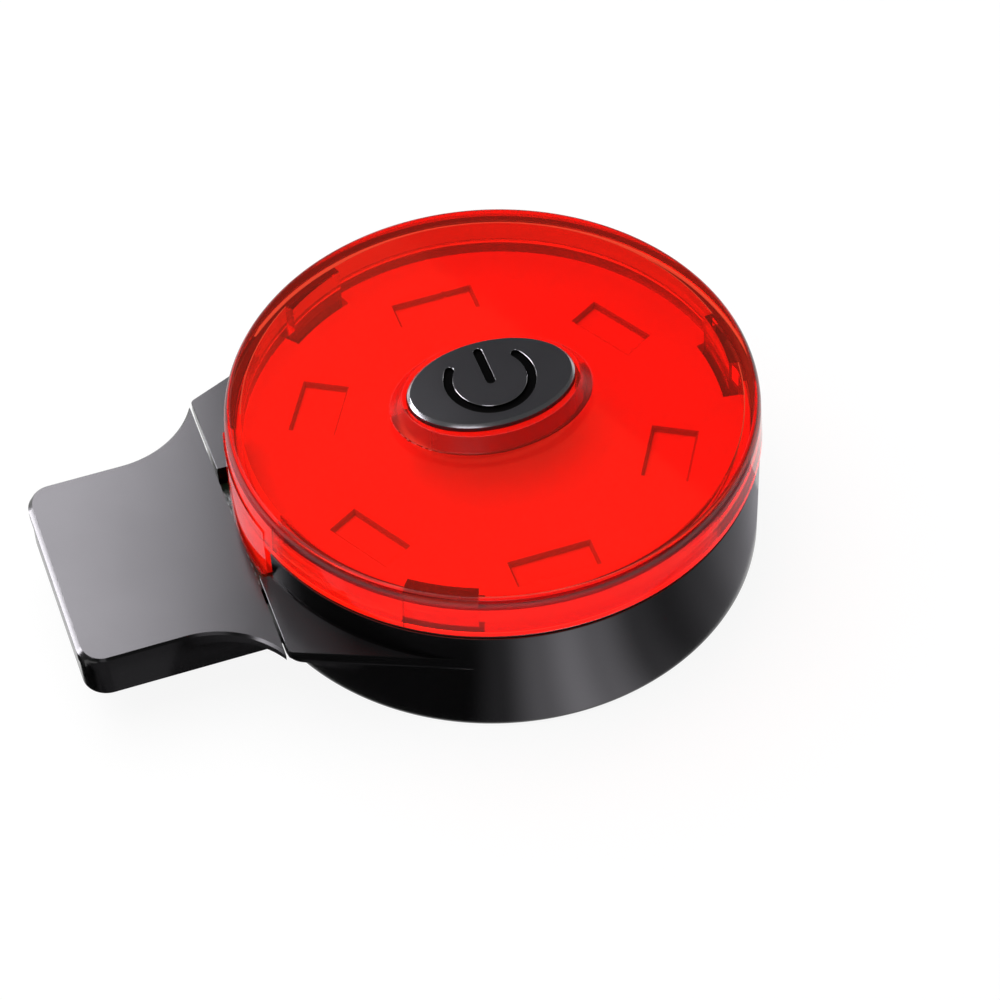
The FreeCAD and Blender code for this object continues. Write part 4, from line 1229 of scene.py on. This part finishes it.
def softbox(name, place, target, width, height, radiance, gloss_only=False, shine=True, roll=0.0,
            only=(), spared=(), through=()):
    """A rectangular lamp. It lights only some pieces, spares some, or shines through some."""
    lamp = bpy.data.lights.new(name, "AREA")
    lamp.shape = "RECTANGLE"
    lamp.size = width
    lamp.size_y = height
    lamp.energy = radiance * math.pi * width * height
    lamp.color = cool_white if gloss_only else (1, 1, 1)
    box = bpy.data.objects.new(name, lamp)
    box.location = place
    box.rotation_euler = (Vector(target) - Vector(place)).to_track_quat("-Z", "Y").to_euler()
    box.rotation_euler.rotate_axis("Z", math.radians(roll))
    box.visible_camera = False
    box.visible_diffuse = not gloss_only
    box.visible_transmission = not gloss_only and not only
    box.visible_glossy = shine
    bpy.context.scene.collection.objects.link(box)
    linking = ((only, "receiver_collection", "INCLUDE"), (spared, "receiver_collection", "EXCLUDE"),
               (through, "blocker_collection", "EXCLUDE"))
    for pieces, side, state in linking:
        if pieces:
            chosen = bpy.data.collections.new(name + " choice")
            for piece in pieces:
                chosen.objects.link(piece)
            for linked in chosen.collection_objects:
                linked.light_linking.link_state = state
            setattr(box.light_linking, side, chosen)


softbox("Key softbox", (-0.1475, 0.20, 0.243), (-0.1475, 0, 0), 0.30, 0.20, 9.3, gloss_only=True,
        roll=-16.0, spared=[lens])
softbox("Broad softbox", (-0.12, 0.15, 0.39), (0, 0, 0), 0.60, 0.40, 2.0, shine=False, through=[button])
softbox("Front panel", (-0.14, -0.31, 0.295), (0, 0, 0.01), 0.18, 0.07, 1.4, gloss_only=True)
softbox("Flare panel", (-0.35, -0.06, 0.235), (-0.03, 0, 0.01), 0.20, 0.09, 11.0, gloss_only=True,
        only=[cap_plate])
softbox("End panel", (-0.31, 0.24, 0.082), (-0.038, 0, 0.008), 0.24, 0.13, 22.0, gloss_only=True,
        only=[cap_plate])
softbox("Button panel", (-0.36, 0.10, 0.14), (0, 0, 0.017), 0.30, 0.16, 3.0, gloss_only=True, only=[button])
softbox("Side softbox", (-0.33, -0.12, 0.055), (-0.02, 0, 0.013), 0.22, 0.09, 16.0, shine=False, only=[lens])


def background_switch(tree, seen, others, backdrop):
    """The white backdrop is for camera, glossy and transmission rays, and the rest see the others."""
    either = tree.nodes.new("ShaderNodeMath")
    either.operation = "MAXIMUM"
    choice = tree.nodes.new("ShaderNodeMixShader")
    tree.links.new(seen.outputs["Is Camera Ray"], either.inputs[0])
    tree.links.new(seen.outputs["Is Transmission Ray"], either.inputs[1])
    glossy = tree.nodes.new("ShaderNodeMath")
    glossy.operation = "MAXIMUM"
    tree.links.new(either.outputs["Value"], glossy.inputs[0])
    tree.links.new(seen.outputs["Is Glossy Ray"], glossy.inputs[1])
    tree.links.new(glossy.outputs["Value"], choice.inputs[0])
    tree.links.new(others.outputs[0], choice.inputs[1])
    tree.links.new(backdrop.outputs[0], choice.inputs[2])
    return choice


floor_reach = 3.0
floor_drop = 0.00005
floor_mesh = bpy.data.meshes.new("Floor")
floor_corners = box_outline(-floor_reach, floor_reach, -floor_reach, floor_reach)
floor_mesh.from_pydata([(x, y, -floor_drop) for x, y in floor_corners], [], [(0, 1, 2, 3)])
floor = bpy.data.objects.new("Floor", floor_mesh)
bpy.context.scene.collection.objects.link(floor)
table = bpy.data.materials.new("White table")
table.use_nodes = True
tree = table.node_tree
tree.nodes.clear()
out = tree.nodes.new("ShaderNodeOutputMaterial")
paper = tree.nodes.new("ShaderNodeBsdfDiffuse")
paper.inputs["Color"].default_value = (0.8, 0.8, 0.8, 1)
shadow_paper = tree.nodes.new("ShaderNodeBsdfDiffuse")
shadow_paper.inputs["Color"].default_value = (0.14, 0.14, 0.14, 1)
glow = tree.nodes.new("ShaderNodeEmission")
glow.inputs["Strength"].default_value = 0.9
both = tree.nodes.new("ShaderNodeAddShader")
seen = tree.nodes.new("ShaderNodeLightPath")
tree.links.new(shadow_paper.outputs[0], both.inputs[0])
tree.links.new(glow.outputs[0], both.inputs[1])
choice = background_switch(tree, seen, paper, both)
tree.links.new(choice.outputs[0], out.inputs["Surface"])
floor_mesh.materials.append(table)

world = bpy.data.worlds.new("Studio")
bpy.context.scene.world = world
world.use_nodes = True
tree = world.node_tree
tree.nodes.clear()
out = tree.nodes.new("ShaderNodeOutputWorld")
white = tree.nodes.new("ShaderNodeBackground")
dome = tree.nodes.new("ShaderNodeBackground")
dome.inputs["Strength"].default_value = 0.4
seen = tree.nodes.new("ShaderNodeLightPath")
place = tree.nodes.new("ShaderNodeTexCoord")
split = tree.nodes.new("ShaderNodeSeparateXYZ")
fade = tree.nodes.new("ShaderNodeMapRange")
fade.interpolation_type = "SMOOTHSTEP"
fade.inputs["From Min"].default_value = 0.0
fade.inputs["From Max"].default_value = 0.2
fade.inputs["To Min"].default_value = 1.0
fade.inputs["To Max"].default_value = 0.08
level = tree.nodes.new("ShaderNodeMix")
level.inputs["A"].default_value = 1.0
tree.links.new(place.outputs["Generated"], split.inputs[0])
tree.links.new(split.outputs["Z"], fade.inputs["Value"])
tree.links.new(seen.outputs["Is Glossy Ray"], level.inputs["Factor"])
tree.links.new(fade.outputs["Result"], level.inputs["B"])
tree.links.new(level.outputs["Result"], white.inputs["Strength"])
choice = background_switch(tree, seen, dome, white)
tree.links.new(choice.outputs[0], out.inputs["Surface"])

# Cards on the table: black paper that keeps the black walls deep, with one soft pale stretch that
# draws the broad highlight on the cup. One more stands round the lens's skirt over the neck, so that
# the near ear doesn't mirror the red. Only reflections show them.
card_height = 0.03


def lying(outline):
    """An outline laid flat on the table."""
    return [(x, y, card_height) for x, y in outline]


def card(name, points, faces):
    """A piece of paper that only reflections see: black, unless its strength is set."""
    mesh = bpy.data.meshes.new(name)
    mesh.from_pydata([Vector(point) * mm for point in points], [], faces)
    paper = bpy.data.objects.new(name, mesh)
    bpy.context.scene.collection.objects.link(paper)
    paper.visible_camera = False
    paper.visible_diffuse = False
    paper.visible_transmission = False
    paper.visible_shadow = False
    material = bpy.data.materials.new(name)
    material.use_nodes = True
    tree = material.node_tree
    tree.nodes.clear()
    out = tree.nodes.new("ShaderNodeOutputMaterial")
    shine = tree.nodes.new("ShaderNodeEmission")
    shine.inputs["Strength"].default_value = 0.0
    shine.inputs["Color"].default_value = (*cool_white, 1)
    tree.links.new(shine.outputs[0], out.inputs["Surface"])
    mesh.materials.append(material)
    return tree, shine


card_inner = rim_radius + 0.3
card_outer = 33.0
card_steps = 48
card_first = -165.0
card_last = -12.0
inner_edge = bend((0, 0), card_inner, card_first, card_last, card_steps)
outer_edge = bend((0, 0), card_outer, card_first, card_last, card_steps)
card_row = card_steps + 1
card_faces = [(index, index + 1, card_row + index + 1, card_row + index) for index in range(card_steps)]
tree, shine = card("Wall card", lying(inner_edge + outer_edge), card_faces)
place = tree.nodes.new("ShaderNodeTexCoord")
split = tree.nodes.new("ShaderNodeSeparateXYZ")
angle = tree.nodes.new("ShaderNodeMath")
angle.operation = "ARCTAN2"
spread = tree.nodes.new("ShaderNodeMapRange")
spread.inputs["From Min"].default_value = math.radians(card_first)
spread.inputs["From Max"].default_value = math.radians(card_last)
shades = tree.nodes.new("ShaderNodeValToRGB")
shades.color_ramp.interpolation = "EASE"
card_shades = ((-165.0, 0.01), (-116.0, 0.01), (-108.0, 0.1), (-98.0, 0.5), (-90.0, 0.85), (-82.0, 0.55),
               (-70.0, 0.13), (-60.0, 0.055), (-48.0, 0.1), (-35.0, 0.17), (-12.0, 0.25))
ramp = shades.color_ramp.elements
ramp.remove(ramp[1])
for step, (at, shade) in enumerate(card_shades):
    where = (at - card_first) / (card_last - card_first)
    stop = ramp[0] if step == 0 else ramp.new(where)
    stop.position = where
    stop.color = (shade, shade, shade, 1)
brightness = tree.nodes.new("ShaderNodeMath")
brightness.operation = "MULTIPLY"
brightness.inputs[1].default_value = 2.2
tree.links.new(place.outputs["Object"], split.inputs[0])
tree.links.new(split.outputs["Y"], angle.inputs[0])
tree.links.new(split.outputs["X"], angle.inputs[1])
tree.links.new(angle.outputs["Value"], spread.inputs["Value"])
tree.links.new(spread.outputs["Result"], shades.inputs["Fac"])
tree.links.new(shades.outputs["Color"], brightness.inputs[0])
tree.links.new(brightness.outputs["Value"], shine.inputs["Strength"])

skirt_card_outer = 54.0
inner_edge = bend((0, 0), card_outer, card_first, card_last, card_steps)
outer_edge = bend((0, 0), skirt_card_outer, card_first, card_last, card_steps)
tree, shine = card("Skirt card", lying(inner_edge + outer_edge), card_faces)
shine.inputs["Strength"].default_value = 0.25

tree, shine = card("Near card", lying(box_outline(-35.0, -20.0, -15.4, -9.0)), [(0, 1, 2, 3)])
shine.inputs["Strength"].default_value = 0.3
card("Corner card", lying(box_outline(-48.0, -35.0, -15.4, -9.0)), [(0, 1, 2, 3)])

skirt_face = bend((0, 0), lens_foot_radius + 0.06, card_first, -100.0, card_steps)
skirt_face = [(x, y, z) for z in (ear_high + 0.05, lens_high + 0.2) for x, y in skirt_face]
tree, shine = card("Neck card", skirt_face, card_faces)
place = tree.nodes.new("ShaderNodeTexCoord")
split = tree.nodes.new("ShaderNodeSeparateXYZ")
fall = tree.nodes.new("ShaderNodeMapRange")
fall.inputs["From Min"].default_value = -21.0 * mm
fall.inputs["From Max"].default_value = -16.5 * mm
fall.inputs["To Min"].default_value = 0.6
fall.inputs["To Max"].default_value = 0.1
side = tree.nodes.new("ShaderNodeNewGeometry")
passing = tree.nodes.new("ShaderNodeBsdfTransparent")
one_sided = tree.nodes.new("ShaderNodeMixShader")
tree.links.new(place.outputs["Object"], split.inputs[0])
tree.links.new(split.outputs["X"], fall.inputs["Value"])
tree.links.new(fall.outputs["Result"], shine.inputs["Strength"])
tree.links.new(side.outputs["Backfacing"], one_sided.inputs[0])
tree.links.new(shine.outputs[0], one_sided.inputs[1])
tree.links.new(passing.outputs[0], one_sided.inputs[2])
tree.links.new(one_sided.outputs[0], tree.nodes["Material Output"].inputs["Surface"])
card("Far card", lying(box_outline(-48.0, -20.0, -26.0, -15.4)), [(0, 1, 2, 3)])
card("End card", lying(box_outline(-44.0, -39.3, -9.0, 18.0)), [(0, 1, 2, 3)])
